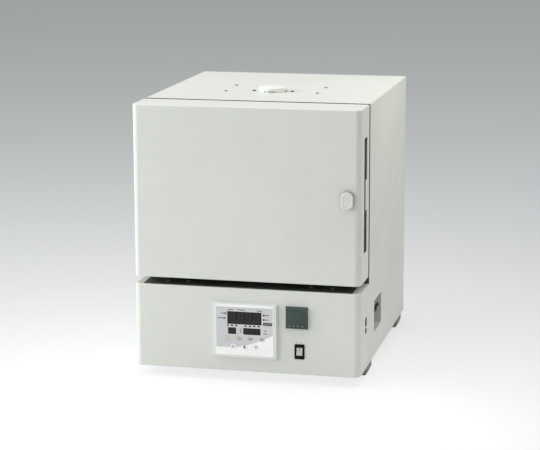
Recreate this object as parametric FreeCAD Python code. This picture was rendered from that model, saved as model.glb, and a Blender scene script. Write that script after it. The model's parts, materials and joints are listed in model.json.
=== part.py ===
import FreeCAD, Part
import math
import os

# A bench-top electric muffle furnace. The shapes are made with X across the front, Y from the front
# of the door to the rear, Z up from the surface it stands on, and X = 0 in the middle of the case.
# save() then moves them, so that the origin is at the bottom centre of the whole object.

# Case, in millimetres
case_width = 490.0
case_depth = 584.0
case_height = 565.0
foot_height = 22.0
front_depth = 102.0
base_height = 180.0
edge_radius = 14.0
fold_radius = 2.5
sheet = 1.5
lip = 14.0
cover_seam = 0.8
pan_rim = 30.0
deck_rim = 22.0

# Clearances
fit_gap = 0.3
press_gap = 0.02
running_gap = 0.05

# Small round pieces that repeat have flat sides, so that their facets are few
shank_sides = 8
head_sides = 12
rod_sides = 12

# Chamber and its insulation
chamber_width = 200.0
chamber_depth = 320.0
chamber_height = 200.0
mouth_margin = 2.0
shell_sheet = 1.0
side_air = 50.0
floor_air = 19.0
roof_air = 17.0
rear_air = 72.0
hearth_thickness = 10.0
hearth_margin = 3.0
rail_width = 30.0
rail_spacing = 240.0

# Heaters in the two side walls
heater_count = 5
heater_pitch = 36.0
heater_rod_radius = 5.0
coil_radius = 8.5
groove_margin = 1.5
groove_from_mouth = 16.0
rod_seat = 12.0
terminal_radius = 3.0
terminal_start = 8.0
terminal_reach = 22.0
terminal_bush_radius = 6.6
terminal_bush_length = 8.0
terminal_nut = 10.0

# Thermocouple
sheath_radius = 4.0
sheath_bevel = 1.5
sheath_reach = 35.0
sheath_drop = 40.0
head_radius = 20.0
head_length = 32.0

# Door
door_gap_below = 16.0
door_gap_behind = 10.0
door_slab_margin = 50.0
door_slab_front = 42.0
plug_gap = 4.0
plug_reach = 17.0
plug_taper = 3.0
gasket_width = 14.0
gasket_margin = 12.0

# Vent in the right flange of the door: two wide openings joined by a narrow one
vent_front = 34.0
vent_wide = 34.0
vent_narrow = 18.0
vent_outer = 121.5
vent_inner = 32.0

# Hinges on the left side
hinge_radius = 6.0
hinge_pin_radius = 3.0
hinge_stand_off = 1.0
hinge_height = 56.0
hinge_width = 32.0
hinge_plate = 2.5
hinge_from_end = 64.0
hinge_screw_pitch = 30.0

# Latch
knob_from_side = 28.0
knob_width = 26.0
knob_height = 37.4
knob_drop = 2.3
knob_thickness = 10.0
knob_bevel = 2.5
knob_clear = 0.4
spindle_radius = 4.0
cam_length = 34.0
cam_width = 10.0
cam_thickness = 3.0
keeper_thickness = 2.5
keeper_width = 30.0
keeper_height = 54.0
keeper_slot_margin = 1.4

# Exhaust
exhaust_bore = 10.0
exhaust_wall = 5.0
cap_radius = 32.0
cap_height = 12.0
cap_wall = 1.2
cap_bevel = 1.5
collar_wall = 2.0
collar_height = 8.0
vent_count = 4
cap_vent_angle = 46.0
cap_vent_height = 4.0
collar_vent_angle = 36.0
collar_vent_height = 5.5
exhaust_screw_offset = 43.0
collar_plate = 2.0
collar_strap_width = 26.0
collar_strap_end = 9.0

# Screws: two sizes of head, one shank
screw_radius = 2.0
screw_head_radius = 4.0
screw_head_height = 2.0
screw_length = 7.0
shield_screw_x = 103.0
shield_screw_front = 19.0
shield_screw_back = 77.0
stand_off_across = 11.0
rear_screw_inset = 8.0
shelf_screw_y = 34.0
shelf_plate_front = 6.0
shelf_plate_inset = 19.0
shelf_screw_outer = 179.0
shelf_screw_inner = 134.0

# Feet
foot_length = 58.0
foot_width = 44.0
foot_taper = 4.0
foot_taper_height = 11.0
foot_side_inset = 1.0
front_foot_y = 92.0
rear_foot_inset = 27.0
foot_screw_radius = 3.0
foot_screw_across = 10.0
foot_screw_head = 4.0
foot_screw_depth = 12.0

# Main controller
controller_x = -2.0
controller_z = 89.9
controller_width = 142.0
controller_height = 119.0
controller_corner = 3.0
controller_flange = 3.0
controller_proud = 8.4
controller_rim = 1.0
controller_step = 1.0
controller_wall = 2.0
controller_cut_width = 122.0
controller_cut_height = 104.0
controller_body_depth = 64.0
face_width = 126.0
face_height = 109.4
face_shift = (0.2, 2.3)
face_thickness = 0.6
window_proud = 0.1
display_size = (72.0, 26.0)
display_place = (0.7, 29.2)
step_window_size = (17.2, 12.0)
step_window_place = (-26.5, 0.5)
set_window_size = (35.6, 12.0)
set_window_place = (16.8, 0.5)
key_size = (12.0, 8.0)
key_corner = 2.8
key_proud = 0.5
key_travel = 0.4
key_length = 4.0
key_row_x = -37.3
key_pitch = 25.1
key_row_z = -15.9
key_row_drop = 17.5
key_gap = 0.3

# Over-temperature controller, a square panel instrument
limit_x = 109.5
limit_z = 123.3
limit_size = 48.0
limit_front_size = 43.0
limit_proud = 9.0
limit_body_size = 44.4
limit_body_depth = 90.0
limit_window_size = (38.0, 24.0)
limit_window_rise = 6.5
limit_window_depth = 1.0
limit_key_size = (6.4, 4.6)
limit_key_pitch = 9.4
limit_key_drop = 15.6
limit_key_proud = 0.9
limit_key_travel = 0.6
limit_key_length = 4.0

# Rocker switch
switch_x = 115.5
switch_z = 50.2
switch_width = 21.0
switch_height = 32.0
switch_flange = 2.0
switch_body_width = 18.4
switch_body_height = 28.4
switch_body_depth = 24.0
rocker_width = 12.4
rocker_radius = 9.5
rocker_pivot_y = 3.0
rocker_face_y = -1.6
rocker_travel = 20.0
rocker_gap = 0.35

# Circuit breaker in the right side
recess_y = 213.5
recess_z = 90.4
recess_length = 92.0
recess_height = 70.0
recess_corner = 3.0
recess_depth = 20.0
recess_flange = 8.0
breaker_length = 74.0
breaker_height = 50.0
breaker_depth = 52.0
breaker_proud = 9.0
breaker_boss_length = 50.0
breaker_boss_height = 30.0
lever_root_radius = 9.0
lever_bar_length = 44.0
lever_bar_height = 6.0
lever_bar_depth = 5.0
lever_reach = 19.0
lever_arm = 8.0
lever_arm_height = 4.8
lever_arm_spacing = 26.0
lever_rest_angle = 48.0

# Blanking plugs in the control box cover's right flange
plug_y = 65.0
upper_plug_z = 104.0
upper_plug_radii = (5.8, 3.2)
upper_plug_span = 10.4
lower_plug_z = 86.2
lower_plug_radius = 5.2
plug_proud = 0.8

# Rear panel
louvre_size = (64.0, 3.6)
louvre_rows = 7
louvre_pitch = 13.0
louvre_columns = (-92.0, 92.0)
louvre_from_top = 60.0
gland_from_side = 80.0
gland_z = 60.0
gland_bore = 5.5
gland_thread_radius = 10.0
gland_hex = 26.0
gland_hex_length = 8.0
gland_dome_radius = 11.0
gland_dome_length = 14.0
gland_bevel = 3.0
gland_nut_length = 5.0
gland_tail = 10.0

# Relay on its heat sink, on the base pan
sink_x = -120.0
sink_y = 330.0
sink_size = (90.0, 100.0)
sink_base = 8.0
fin_count = 8
fin_height = 30.0
fin_thickness = 2.5
relay_size = (45.0, 60.0, 24.0)

# Levels and planes that follow from the sizes above
half = case_width / 2
case_low = foot_height
shelf_z = case_low + base_height
top_z = case_low + case_height
door_low = shelf_z + door_gap_below
frame_front = front_depth - sheet
frame_back = front_depth
door_back = frame_front - door_gap_behind
door_mid_z = (door_low + top_z) / 2
chamber_low = door_mid_z - chamber_height / 2
chamber_high = door_mid_z + chamber_height / 2
chamber_back = frame_back + chamber_depth
shell_half = half - sheet - side_air
shell_low = shelf_z + floor_air
shell_back = case_depth - 2 * sheet - rear_air
shield_low = top_z - sheet - roof_air - shell_sheet
fibre_half = shell_half - shell_sheet
fibre_back = shell_back - shell_sheet
fibre_low = shell_low + shell_sheet
exhaust_y = frame_back + chamber_depth / 2
knob_x = half - knob_from_side
knob_z = door_mid_z - knob_drop
hinge_x = -half - hinge_stand_off - hinge_radius
gland_x = -half + gland_from_side
hinge_y = (door_back + frame_front) / 2
recess_mid_z = case_low + recess_z
controller_mid_z = case_low + controller_z
limit_mid_z = case_low + limit_z
switch_mid_z = case_low + switch_z
upper_plug_mid = case_low + upper_plug_z
cam_y = frame_back + keeper_thickness + fit_gap
spindle_end = cam_y + cam_thickness + 1.0

# How far the outermost pieces stand out of the case, for the origin
left_reach = hinge_stand_off + 2 * hinge_radius
right_reach = plug_proud
front_reach = knob_clear + knob_thickness
rear_reach = gland_hex_length + gland_dome_length
to_origin = FreeCAD.Vector(
    (left_reach - right_reach) / 2, (front_reach - rear_reach - case_depth) / 2, 0
)


def at(axis, a, b, s):
    # A point at s along the axis; a and b are the other two coordinates, in X, Y, Z order
    points = {"x": (s, a, b), "y": (a, s, b), "z": (a, b, s)}
    return FreeCAD.Vector(*points[axis])


def block(x0, x1, y0, y1, z0, z1):
    return Part.makeBox(x1 - x0, y1 - y0, z1 - z0, FreeCAD.Vector(x0, y0, z0))


def bar(axis, a, b, radius, s0, s1):
    return Part.makeCylinder(radius, s1 - s0, at(axis, a, b, s0), at(axis, 0, 0, 1))


def tube(axis, a, b, outer, inner, s0, s1):
    return bar(axis, a, b, outer, s0, s1).cut(bar(axis, a, b, inner, s0 - 1, s1 + 1))


def plate(axis, a, b, wide, tall, s0, s1, radius=0.0):
    # Rectangular prism along the axis, centred on a and b, its four long edges rounded
    low = at(axis, a - wide / 2, b - tall / 2, s0)
    size = at(axis, wide, tall, s1 - s0)
    solid = Part.makeBox(size.x, size.y, size.z, low)
    if radius > 0:
        along = at(axis, 0, 0, 1)
        edges = [e for e in solid.Edges if abs(e.tangentAt(e.FirstParameter).dot(along)) > 0.9]
        solid = solid.makeFillet(radius, edges)
    return solid


def oblong(axis, a, b, wide, tall, s0, s1):
    # Prism with half-round ends on its longer way
    radius = min(wide, tall) / 2
    run = max(wide, tall) / 2 - radius

    def p(u, v):
        return at(axis, a + u, b + v, s0) if wide > tall else at(axis, a + v, b + u, s0)

    edges = [
        Part.LineSegment(p(-run, -radius), p(run, -radius)),
        Part.Arc(p(run, -radius), p(run + radius, 0), p(run, radius)),
        Part.LineSegment(p(run, radius), p(-run, radius)),
        Part.Arc(p(-run, radius), p(-run - radius, 0), p(-run, -radius)),
    ]
    outline = Part.Wire([e.toShape() for e in edges])
    return Part.Face(outline).extrude(at(axis, 0, 0, s1 - s0))


def prism(axis, outline, s0, s1):
    # Straight-sided outline of (a, b) points, carried from s0 to s1
    points = [at(axis, a, b, s0) for a, b in outline]
    face = Part.Face(Part.makePolygon(points + points[:1]))
    return face.extrude(at(axis, 0, 0, s1 - s0))


def many_sided(axis, a, b, radius, s0, s1, sides):
    # Regular prism with its corners at the radius
    turns = [2 * math.pi * i / sides for i in range(sides)]
    return prism(axis, [(a + radius * math.cos(t), b + radius * math.sin(t)) for t in turns], s0, s1)


def hexagon(axis, a, b, across, s0, s1):
    return many_sided(axis, a, b, across / math.sqrt(3), s0, s1, 6)


def frustum(x, z, size0, y0, size1, y1):
    # Rectangle size0 at y0, joined by straight sides to the rectangle size1 at y1
    rings = []
    for (wide, tall), y in ((size0, y0), (size1, y1)):
        w, h = wide / 2, tall / 2
        corners = [(-w, -h), (w, -h), (w, h), (-w, h), (-w, -h)]
        rings.append(Part.makePolygon([FreeCAD.Vector(x + u, y, z + v) for u, v in corners]))
    return Part.makeLoft(rings, True, True)


def front_block(inset, back, low, high, fold=0.0):
    # Block with round upright front edges, and with folds round its bottom and top where fold is
    # over 0; inset is measured inwards from the outside of the case
    w = half - inset
    r = edge_radius - inset
    near = inset + r * (1 - math.sqrt(0.5))
    p = [FreeCAD.Vector(x, y, low) for x, y in (
        (-w, back), (-w, inset + r), (-w + near - inset, near), (-w + r, inset),
        (w - r, inset), (w - near + inset, near), (w, inset + r), (w, back),
    )]
    edges = [
        Part.LineSegment(p[0], p[1]), Part.Arc(p[1], p[2], p[3]), Part.LineSegment(p[3], p[4]),
        Part.Arc(p[4], p[5], p[6]), Part.LineSegment(p[6], p[7]), Part.LineSegment(p[7], p[0]),
    ]
    outline = Part.Wire([e.toShape() for e in edges])
    solid = Part.Face(outline).extrude(FreeCAD.Vector(0, 0, high - low))
    if fold == 0:
        return solid
    rim = []
    for e in solid.Edges:
        box = e.BoundBox
        if box.ZLength < 0.01 and box.YMin < back - 0.01:
            rim.append(e)
    return solid.makeFillet(fold, rim)


def screw(axis, a, b, face, inwards):
    # The head stands on the face, the shank goes inwards (+1 or -1 along the axis)
    shank = sorted((face, face + inwards * screw_length))
    head = sorted((face, face - inwards * screw_head_height))
    cap = many_sided(axis, a, b, screw_head_radius, head[0], head[1], head_sides)
    return cap.fuse(many_sided(axis, a, b, screw_radius, shank[0], shank[1], shank_sides))


def screw_hole(axis, a, b, s0, s1):
    return many_sided(axis, a, b, screw_radius + running_gap, s0, s1, shank_sides)


def cut_all(shape, tools):
    return shape.cut(Part.makeCompound(tools))


def shelf_screw_places():
    xs = (shelf_screw_inner, shelf_screw_outer)
    return [(side * x, shelf_screw_y) for side in (-1, 1) for x in xs]


def shield_screw_places():
    ys = (exhaust_y - shield_screw_front, exhaust_y + shield_screw_back)
    return [(side * shield_screw_x, y) for side in (-1, 1) for y in ys]


def rear_screw_places():
    x = half - rear_screw_inset
    zs = (case_low + rear_screw_inset, (case_low + top_z) / 2, top_z - rear_screw_inset)
    return [(side * x, z) for side in (-1, 1) for z in zs]


def foot_places():
    x = half - foot_side_inset - foot_width / 2
    ys = (front_foot_y + foot_length / 2, case_depth - rear_foot_inset - foot_length / 2)
    return [(side * x, y) for side in (-1, 1) for y in ys]


def hinge_places():
    return [door_low + hinge_from_end, top_z - hinge_from_end]


def leaf_screw_places(sign):
    # sign is +1 on the case, behind the hinge, and -1 on the door, in front of it
    y = hinge_y + sign * (hinge_radius + hinge_width) * 0.6
    step = hinge_screw_pitch / 2
    return [(y, z + dz) for z in hinge_places() for dz in (-step, step)]


def heater_levels():
    middle = (heater_count - 1) / 2
    return [door_mid_z + (i - middle) * heater_pitch for i in range(heater_count)]


def coil_depth():
    # From the chamber wall to the middle of a coil
    return coil_radius + groove_margin


def make_case_cover():
    # One sheet folded into a top, two sides and two bottom lips, with a frame for the rear panel
    width, height = case_width, case_height
    mid = (case_low + top_z) / 2
    cover = plate("y", 0, mid, width, height, front_depth, case_depth, fold_radius)
    hollow = plate("y", 0, mid, width - 2 * sheet, height - 2 * sheet, front_depth - 1, case_depth + 1)
    cover = cover.cut(hollow)
    cover = cover.cut(block(-half + lip, half - lip, front_depth - 1, case_depth + 1,
                            case_low - 1, case_low + 5))
    ring_y = case_depth - 2 * sheet
    ring = plate("y", 0, mid, width - sheet, height - sheet,
                 ring_y, ring_y + sheet, fold_radius - sheet / 2)
    ring = ring.cut(plate("y", 0, mid, width - 2 * lip, height - 2 * lip, ring_y - 1, case_depth))
    cover = cover.fuse(ring).removeSplitter()
    holes = [bar("z", 0, exhaust_y, collar_outer() + fit_gap, top_z - 5, top_z + 5)]
    holes += [screw_hole("z", x, y, top_z - 5, top_z + 5) for x, y in shield_screw_places()]
    holes += [screw_hole("z", x, exhaust_y, top_z - 5, top_z + 5)
              for x in (-exhaust_screw_offset, exhaust_screw_offset)]
    holes += [screw_hole("y", x, z, ring_y - 1, case_depth) for x, z in rear_screw_places()]
    holes += [screw_hole("x", y, z, -half - 1, -half + 5) for y, z in leaf_screw_places(1)]
    holes.append(plate("x", recess_y, recess_mid_z, recess_length, recess_height,
                       half - 5, half + 1, recess_corner))
    return cut_all(cover, holes)


def make_rear_panel():
    inset = sheet + fit_gap
    mid = (case_low + top_z) / 2
    panel = plate("y", 0, mid, case_width - 2 * inset, case_height - 2 * inset,
                  case_depth - sheet, case_depth)
    cuts = [screw_hole("y", x, z, case_depth - 5, case_depth + 1) for x, z in rear_screw_places()]
    for x in louvre_columns:
        for row in range(louvre_rows):
            z = top_z - louvre_from_top - row * louvre_pitch
            cuts.append(plate("y", x, z, louvre_size[0], louvre_size[1],
                              case_depth - 5, case_depth + 1))
    cuts.append(bar("y", gland_x, case_low + gland_z, gland_thread_radius + running_gap,
                    case_depth - 5, case_depth + 1))
    return cut_all(panel, cuts)


def make_front_cover():
    # The folded cover of the control box, open at the back and mostly open below
    back = front_depth - cover_seam
    cover = front_block(0, back, case_low, shelf_z, fold_radius)
    cover = cover.cut(front_block(sheet, back + 1, case_low + sheet, shelf_z - sheet))
    cuts = [block(-half + lip, half - lip, lip, back + 1, case_low - 1, case_low + 5)]
    cuts.append(plate("y", controller_x, controller_mid_z, controller_cut_width + 2 * fit_gap,
                      controller_cut_height + 2 * fit_gap, -1, 5))
    cuts.append(plate("y", limit_x, limit_mid_z, limit_body_size + 2 * fit_gap,
                      limit_body_size + 2 * fit_gap, -1, 5))
    cuts.append(plate("y", switch_x, switch_mid_z, switch_body_width + 2 * fit_gap,
                      switch_body_height + 2 * fit_gap, -1, 5))
    cuts += [screw_hole("z", x, y, shelf_z - 5, shelf_z + 1) for x, y in shelf_screw_places()]
    cuts.append(upper_plug_body(half - 5, half + 1, 0.0))
    cuts.append(bar("x", plug_y, case_low + lower_plug_z, lower_plug_radius, half - 5, half + 1))
    return cut_all(cover, cuts)


def make_base_pan():
    inset = sheet + fit_gap
    back = case_depth - 2 * sheet - fit_gap
    low = case_low + sheet
    pan = front_block(inset, back, low, low + pan_rim)
    pan = pan.cut(front_block(inset + sheet, back + 1, low + sheet, low + pan_rim + 1))
    cuts = [many_sided("z", x, y, foot_screw_radius + running_gap, low - 1, low + 5, shank_sides)
            for x, y in foot_places()]
    return cut_all(pan, cuts)


def make_front_frame():
    # One folded sheet: a plate round the chamber mouth and a plate on the shelf under the door
    frame = plate("y", 0, (shelf_z + top_z) / 2, case_width, top_z - shelf_z,
                  frame_front, frame_back, fold_radius)
    w = half - shelf_plate_inset
    frame = frame.fuse(block(-w, w, shelf_plate_front, frame_back, shelf_z, shelf_z + sheet))
    cuts = [plate("y", 0, door_mid_z, chamber_width + 2 * mouth_margin,
                  chamber_height + 2 * mouth_margin, frame_front - 1, frame_back + 1)]
    cuts.append(oblong("y", knob_x, knob_z, cam_width + 2 * keeper_slot_margin,
                       cam_length + 2 * keeper_slot_margin, frame_front - 1, frame_back + 1))
    cuts += [screw_hole("z", x, y, shelf_z - 1, shelf_z + 5) for x, y in shelf_screw_places()]
    return cut_all(frame.removeSplitter(), cuts)


def make_latch_keeper():
    y0, y1 = frame_back, frame_back + keeper_thickness
    keeper = plate("y", knob_x, knob_z, keeper_width, keeper_height, y0, y1)
    return keeper.cut(oblong("y", knob_x, knob_z, cam_width + 2 * keeper_slot_margin,
                             cam_length + 2 * keeper_slot_margin, y0 - 1, y1 + 1))


def make_deck():
    # Plate between the chamber and the electrics, with two hat rails welded on it
    w = half - sheet - fit_gap
    back = case_depth - 2 * sheet - fit_gap
    deck = block(-w, w, front_depth, back, shelf_z - deck_rim, shelf_z)
    deck = deck.cut(block(-w + sheet, w - sheet, front_depth - 1, back + 1,
                          shelf_z - deck_rim - 1, shelf_z - sheet))
    rail_front = frame_back + 20
    for side in (-1, 1):
        x = side * rail_spacing / 2
        w = rail_width / 2
        hat = block(x - w, x + w, rail_front, shell_back - 20, shelf_z, shell_low)
        hollow = block(x - w + sheet, x + w - sheet, rail_front - 1, shell_back, shelf_z, shell_low - sheet)
        deck = deck.fuse(hat.cut(hollow))
    return deck.removeSplitter()


def make_furnace_shell():
    # Box of thin sheet round the insulation, open at the top and at the front
    outer = block(-shell_half, shell_half, frame_back, shell_back, shell_low, shield_low)
    inner = block(-shell_half + shell_sheet, shell_half - shell_sheet, frame_back - 1,
                  shell_back - shell_sheet, shell_low + shell_sheet, shield_low + 1)
    cuts = [many_sided("y", 0, chamber_high - sheath_drop, sheath_radius + fit_gap,
                       shell_back - 5, shell_back + 1, head_sides)]
    cuts += [many_sided("y", x, z, terminal_radius + fit_gap, shell_back - 5, shell_back + 1, shank_sides)
             for x, z in terminal_places()]
    return cut_all(outer.cut(inner), cuts)


def make_roof_shield():
    # Lid of the furnace shell, with hexagonal stand-offs up to the case
    high = shield_low + shell_sheet
    lid = block(-shell_half - 4, shell_half + 4, frame_back, shell_back + 4, shield_low, high)
    for x, y in shield_screw_places():
        stand_off = hexagon("z", x, y, stand_off_across, high, top_z - sheet)
        lid = lid.fuse(stand_off.cut(screw_hole("z", x, y, high - 1, top_z)))
    lid = lid.cut(bar("z", 0, exhaust_y, exhaust_bore + exhaust_wall + fit_gap, shield_low - 1, high + 1))
    return lid


def make_insulation_walls():
    # Two blocks with a groove for each heater, narrower at its ends, where the rod is seated
    walls = []
    for side in (-1, 1):
        x0, x1 = sorted((side * chamber_width / 2, side * fibre_half))
        wall = block(x0, x1, frame_back, chamber_back, chamber_low, chamber_high)
        cuts = []
        face = side * chamber_width / 2
        start, end = frame_back + groove_from_mouth, chamber_back - groove_from_mouth
        for z in heater_levels():
            deep = sorted((face - side, face + side * 2 * coil_depth()))
            wide = coil_radius + groove_margin
            narrow = heater_rod_radius + fit_gap
            seat = sorted((face - side, face + side * (coil_depth() + narrow)))
            cuts.append(block(deep[0], deep[1], start, end, z - wide, z + wide))
            cuts.append(block(seat[0], seat[1], start - rod_seat, end + rod_seat, z - narrow, z + narrow))
        walls.append(cut_all(wall, cuts))
    return Part.makeCompound(walls)


def make_insulation_roof():
    # Four boards round the exhaust tube
    w = exhaust_bore + exhaust_wall + fit_gap
    low, high = chamber_high, shield_low
    return Part.makeCompound([
        block(-fibre_half, -w, frame_back, fibre_back, low, high),
        block(w, fibre_half, frame_back, fibre_back, low, high),
        block(-w, w, frame_back, exhaust_y - w, low, high),
        block(-w, w, exhaust_y + w, fibre_back, low, high),
    ])


def make_insulation_floor():
    return block(-fibre_half, fibre_half, frame_back, fibre_back, fibre_low, chamber_low)


def make_insulation_back():
    wall = block(-fibre_half, fibre_half, chamber_back, fibre_back, chamber_low, chamber_high)
    cuts = [many_sided("y", 0, chamber_high - sheath_drop, sheath_radius + fit_gap,
                       chamber_back - 1, fibre_back + 1, head_sides)]
    cuts += [many_sided("y", x, z, terminal_radius + fit_gap, chamber_back + terminal_start - fit_gap,
                        fibre_back + 1, shank_sides) for x, z in terminal_places()]
    return cut_all(wall, cuts)


def heater_lines():
    x = chamber_width / 2 + coil_depth()
    return [(side * x, z) for side in (-1, 1) for z in heater_levels()]


def make_heater_rods():
    start = frame_back + groove_from_mouth - rod_seat + fit_gap
    end = chamber_back - groove_from_mouth + rod_seat - fit_gap
    return Part.makeCompound([
        many_sided("y", x, z, heater_rod_radius, start, end, rod_sides) for x, z in heater_lines()
    ])


def make_heater_coils():
    # The space that each wire coil fills round its rod
    start = frame_back + groove_from_mouth + fit_gap
    end = chamber_back - groove_from_mouth - fit_gap
    coils = []
    for x, z in heater_lines():
        outer = many_sided("y", x, z, coil_radius, start, end, rod_sides)
        coils.append(outer.cut(many_sided("y", x, z, heater_rod_radius + fit_gap,
                                          start - 1, end + 1, rod_sides)))
    return Part.makeCompound(coils)


def terminal_places():
    x = chamber_width / 2 + coil_depth()
    levels = heater_levels()
    return [(side * x, z) for side in (-1, 1) for z in (levels[0], levels[-1])]


def make_heater_terminals():
    # A stud through the back block, a bush against the shell and a nut
    start = chamber_back + terminal_start
    bush_end = shell_back + terminal_bush_length
    studs = []
    for x, z in terminal_places():
        stud = many_sided("y", x, z, terminal_radius, start, shell_back + terminal_reach, shank_sides)
        bush = many_sided("y", x, z, terminal_bush_radius, shell_back, bush_end, head_sides)
        nut = hexagon("y", x, z, terminal_nut, bush_end, bush_end + 5)
        studs.append(stud.fuse([bush, nut]).removeSplitter())
    return Part.makeCompound(studs)


def make_hearth_plate():
    w = chamber_width / 2 - hearth_margin
    y0 = front_depth + plug_reach + hearth_margin
    y1 = chamber_back - hearth_margin
    return plate("z", 0, (y0 + y1) / 2, 2 * w, y1 - y0, chamber_low, chamber_low + hearth_thickness)


def make_thermocouple():
    # Ceramic sheath with a bevelled tip, and its connection head behind the shell
    z = chamber_high - sheath_drop
    tip = chamber_back - sheath_reach
    sheath = bar("y", 0, z, sheath_radius, tip, shell_back)
    sheath = sheath.makeChamfer(sheath_bevel, [e for e in sheath.Edges if e.BoundBox.YMax < tip + 0.01])
    head = many_sided("y", 0, z, head_radius, shell_back + fit_gap,
                      shell_back + fit_gap + head_length, head_sides)
    return Part.makeCompound([sheath, head])


def make_exhaust_tube():
    return tube("z", 0, exhaust_y, exhaust_bore + exhaust_wall, exhaust_bore, chamber_high, top_z + 3)


def collar_outer():
    return cap_radius - cap_wall - fit_gap


def wedge(angle, width, radius, z0, z1):
    # Sector of a disc round the exhaust, to cut one vent window
    a0, a1 = math.radians(angle - width / 2), math.radians(angle + width / 2)
    outline = [(0, exhaust_y)]
    outline += [(2 * radius * math.cos(a), exhaust_y + 2 * radius * math.sin(a)) for a in (a0, a1)]
    return prism("z", outline, z0, z1)


def make_exhaust_collar():
    # Ring with vent windows above the case, on a strap that is screwed up to the case's top
    outer = collar_outer()
    plate_top = top_z - sheet
    ring_low = plate_top - collar_plate
    ring = bar("z", 0, exhaust_y, outer, ring_low, top_z + collar_height)
    strap = plate("z", 0, exhaust_y, 2 * (exhaust_screw_offset + collar_strap_end),
                  collar_strap_width, ring_low, plate_top)
    collar = ring.fuse(strap).removeSplitter()
    cuts = [bar("z", 0, exhaust_y, outer - collar_wall, plate_top, top_z + collar_height + 1)]
    cuts.append(bar("z", 0, exhaust_y, exhaust_bore + exhaust_wall + press_gap,
                    ring_low - 1, plate_top + 1))
    for x in (-exhaust_screw_offset, exhaust_screw_offset):
        cuts.append(screw_hole("z", x, exhaust_y, ring_low - 1, plate_top + 1))
    for i in range(vent_count):
        angle = -90 + (i + 0.5) * 360 / vent_count
        z0 = top_z + 1.0
        cuts.append(wedge(angle, collar_vent_angle, outer, z0, z0 + collar_vent_height))
    return cut_all(collar, cuts)


def make_exhaust_cap():
    # Turned cap; the notches in its skirt meet the collar's windows after a part turn
    low = top_z + fit_gap
    high = low + cap_height
    cap = bar("z", 0, exhaust_y, cap_radius, low, high)
    rim = [e for e in cap.Edges if len(e.Vertexes) == 1 and e.CenterOfMass.z > high - 0.01]
    cap = cap.makeChamfer(cap_bevel, rim)
    cuts = [bar("z", 0, exhaust_y, cap_radius - cap_wall, low - 1, top_z + collar_height + fit_gap)]
    for i in range(vent_count):
        angle = -90 + i * 360 / vent_count
        cuts.append(wedge(angle, cap_vent_angle, cap_radius, low - 1, low + cap_vent_height))
    return cut_all(cap, cuts)


def make_case_screws():
    # Screws of the exhaust, the roof shield, the shelf, the rear panel and the hinges, all of one size
    screws = [screw("z", side * exhaust_screw_offset, exhaust_y, top_z, -1) for side in (-1, 1)]
    screws += [screw("z", x, y, top_z, -1) for x, y in shield_screw_places()]
    screws += [screw("z", x, y, shelf_z + sheet, -1) for x, y in shelf_screw_places()]
    screws += [screw("y", x, z, case_depth, -1) for x, z in rear_screw_places()]
    screws += [screw("x", y, z, -half - hinge_plate, 1) for y, z in leaf_screw_places(1)]
    return Part.makeCompound(screws)


def make_feet():
    # Rubber blocks that narrow towards the floor
    feet = []
    for x, y in foot_places():
        upper = plate("z", x, y, foot_width, foot_length, foot_taper_height, foot_height)
        rings = []
        for z, shrink in ((0.0, 2 * foot_taper), (foot_taper_height, 0.0)):
            w, d = (foot_width - shrink) / 2, (foot_length - shrink) / 2
            corners = [(x - w, y - d), (x + w, y - d), (x + w, y + d), (x - w, y + d), (x - w, y - d)]
            rings.append(Part.makePolygon([FreeCAD.Vector(u, v, z) for u, v in corners]))
        foot = upper.fuse(Part.makeLoft(rings, True, True)).removeSplitter()
        hole = many_sided("z", x, y, foot_screw_radius + running_gap,
                          foot_height - foot_screw_depth, foot_height + 1, shank_sides)
        feet.append(foot.cut(hole))
    return Part.makeCompound(feet)


def make_foot_screws():
    pan_top = case_low + 2 * sheet
    screws = []
    for x, y in foot_places():
        shank = many_sided("z", x, y, foot_screw_radius,
                           foot_height - foot_screw_depth + fit_gap, pan_top, shank_sides)
        head = hexagon("z", x, y, foot_screw_across, pan_top, pan_top + foot_screw_head)
        screws.append(shank.fuse(head).removeSplitter())
    return Part.makeCompound(screws)


def hinge_leaf(z, sign):
    # sign +1: case leaf with the lower knuckle; sign -1: door leaf with the upper knuckle
    side = -half
    low, high = z - hinge_height / 2, z + hinge_height / 2
    near = hinge_y + sign * (hinge_radius + hinge_stand_off)
    far = hinge_y + sign * (hinge_radius + hinge_width)
    leaf = block(side - hinge_plate, side, min(near, far), max(near, far), low, high)
    bands = {1: (low, z - fit_gap / 2), -1: (z + fit_gap / 2, high)}
    z0, z1 = bands[sign]
    knuckle = bar("z", hinge_x, hinge_y, hinge_radius, z0, z1)
    web = block(side - hinge_plate, side - hinge_stand_off, min(hinge_y, near), max(hinge_y, near), z0, z1)
    leaf = leaf.fuse([knuckle, web])
    gap = press_gap if sign > 0 else running_gap
    leaf = leaf.cut(bar("z", hinge_x, hinge_y, hinge_pin_radius + gap, low - 1, high - 2))
    cuts = [screw_hole("x", y, s, side - 5, side + 1)
            for y, s in leaf_screw_places(sign) if low < s < high]
    return cut_all(leaf, cuts).removeSplitter()


def make_hinge_pins():
    pins = []
    for z in hinge_places():
        low, high = z - hinge_height / 2, z + hinge_height / 2
        pins.append(bar("z", hinge_x, hinge_y, hinge_pin_radius, low, high - 2 - fit_gap))
    return Part.makeCompound(pins)


def make_door_skin():
    skin = front_block(0, door_back, door_low, top_z, fold_radius)
    skin = skin.cut(front_block(sheet, door_back + 1, door_low + sheet, top_z - sheet))
    cuts = [bar("y", knob_x, knob_z, spindle_radius + running_gap, -1, 5)]
    for depth, z0, z1 in ((vent_wide, vent_inner, vent_outer), (vent_wide, -vent_outer, -vent_inner),
                          (vent_narrow, -vent_inner - 1, vent_inner + 1)):
        cuts.append(block(half - 5, half + 1, vent_front, vent_front + depth,
                          door_mid_z + z0, door_mid_z + z1))
    cuts += [screw_hole("x", y, z, -half - 1, -half + 5) for y, z in leaf_screw_places(-1)]
    return cut_all(skin, cuts)


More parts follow.
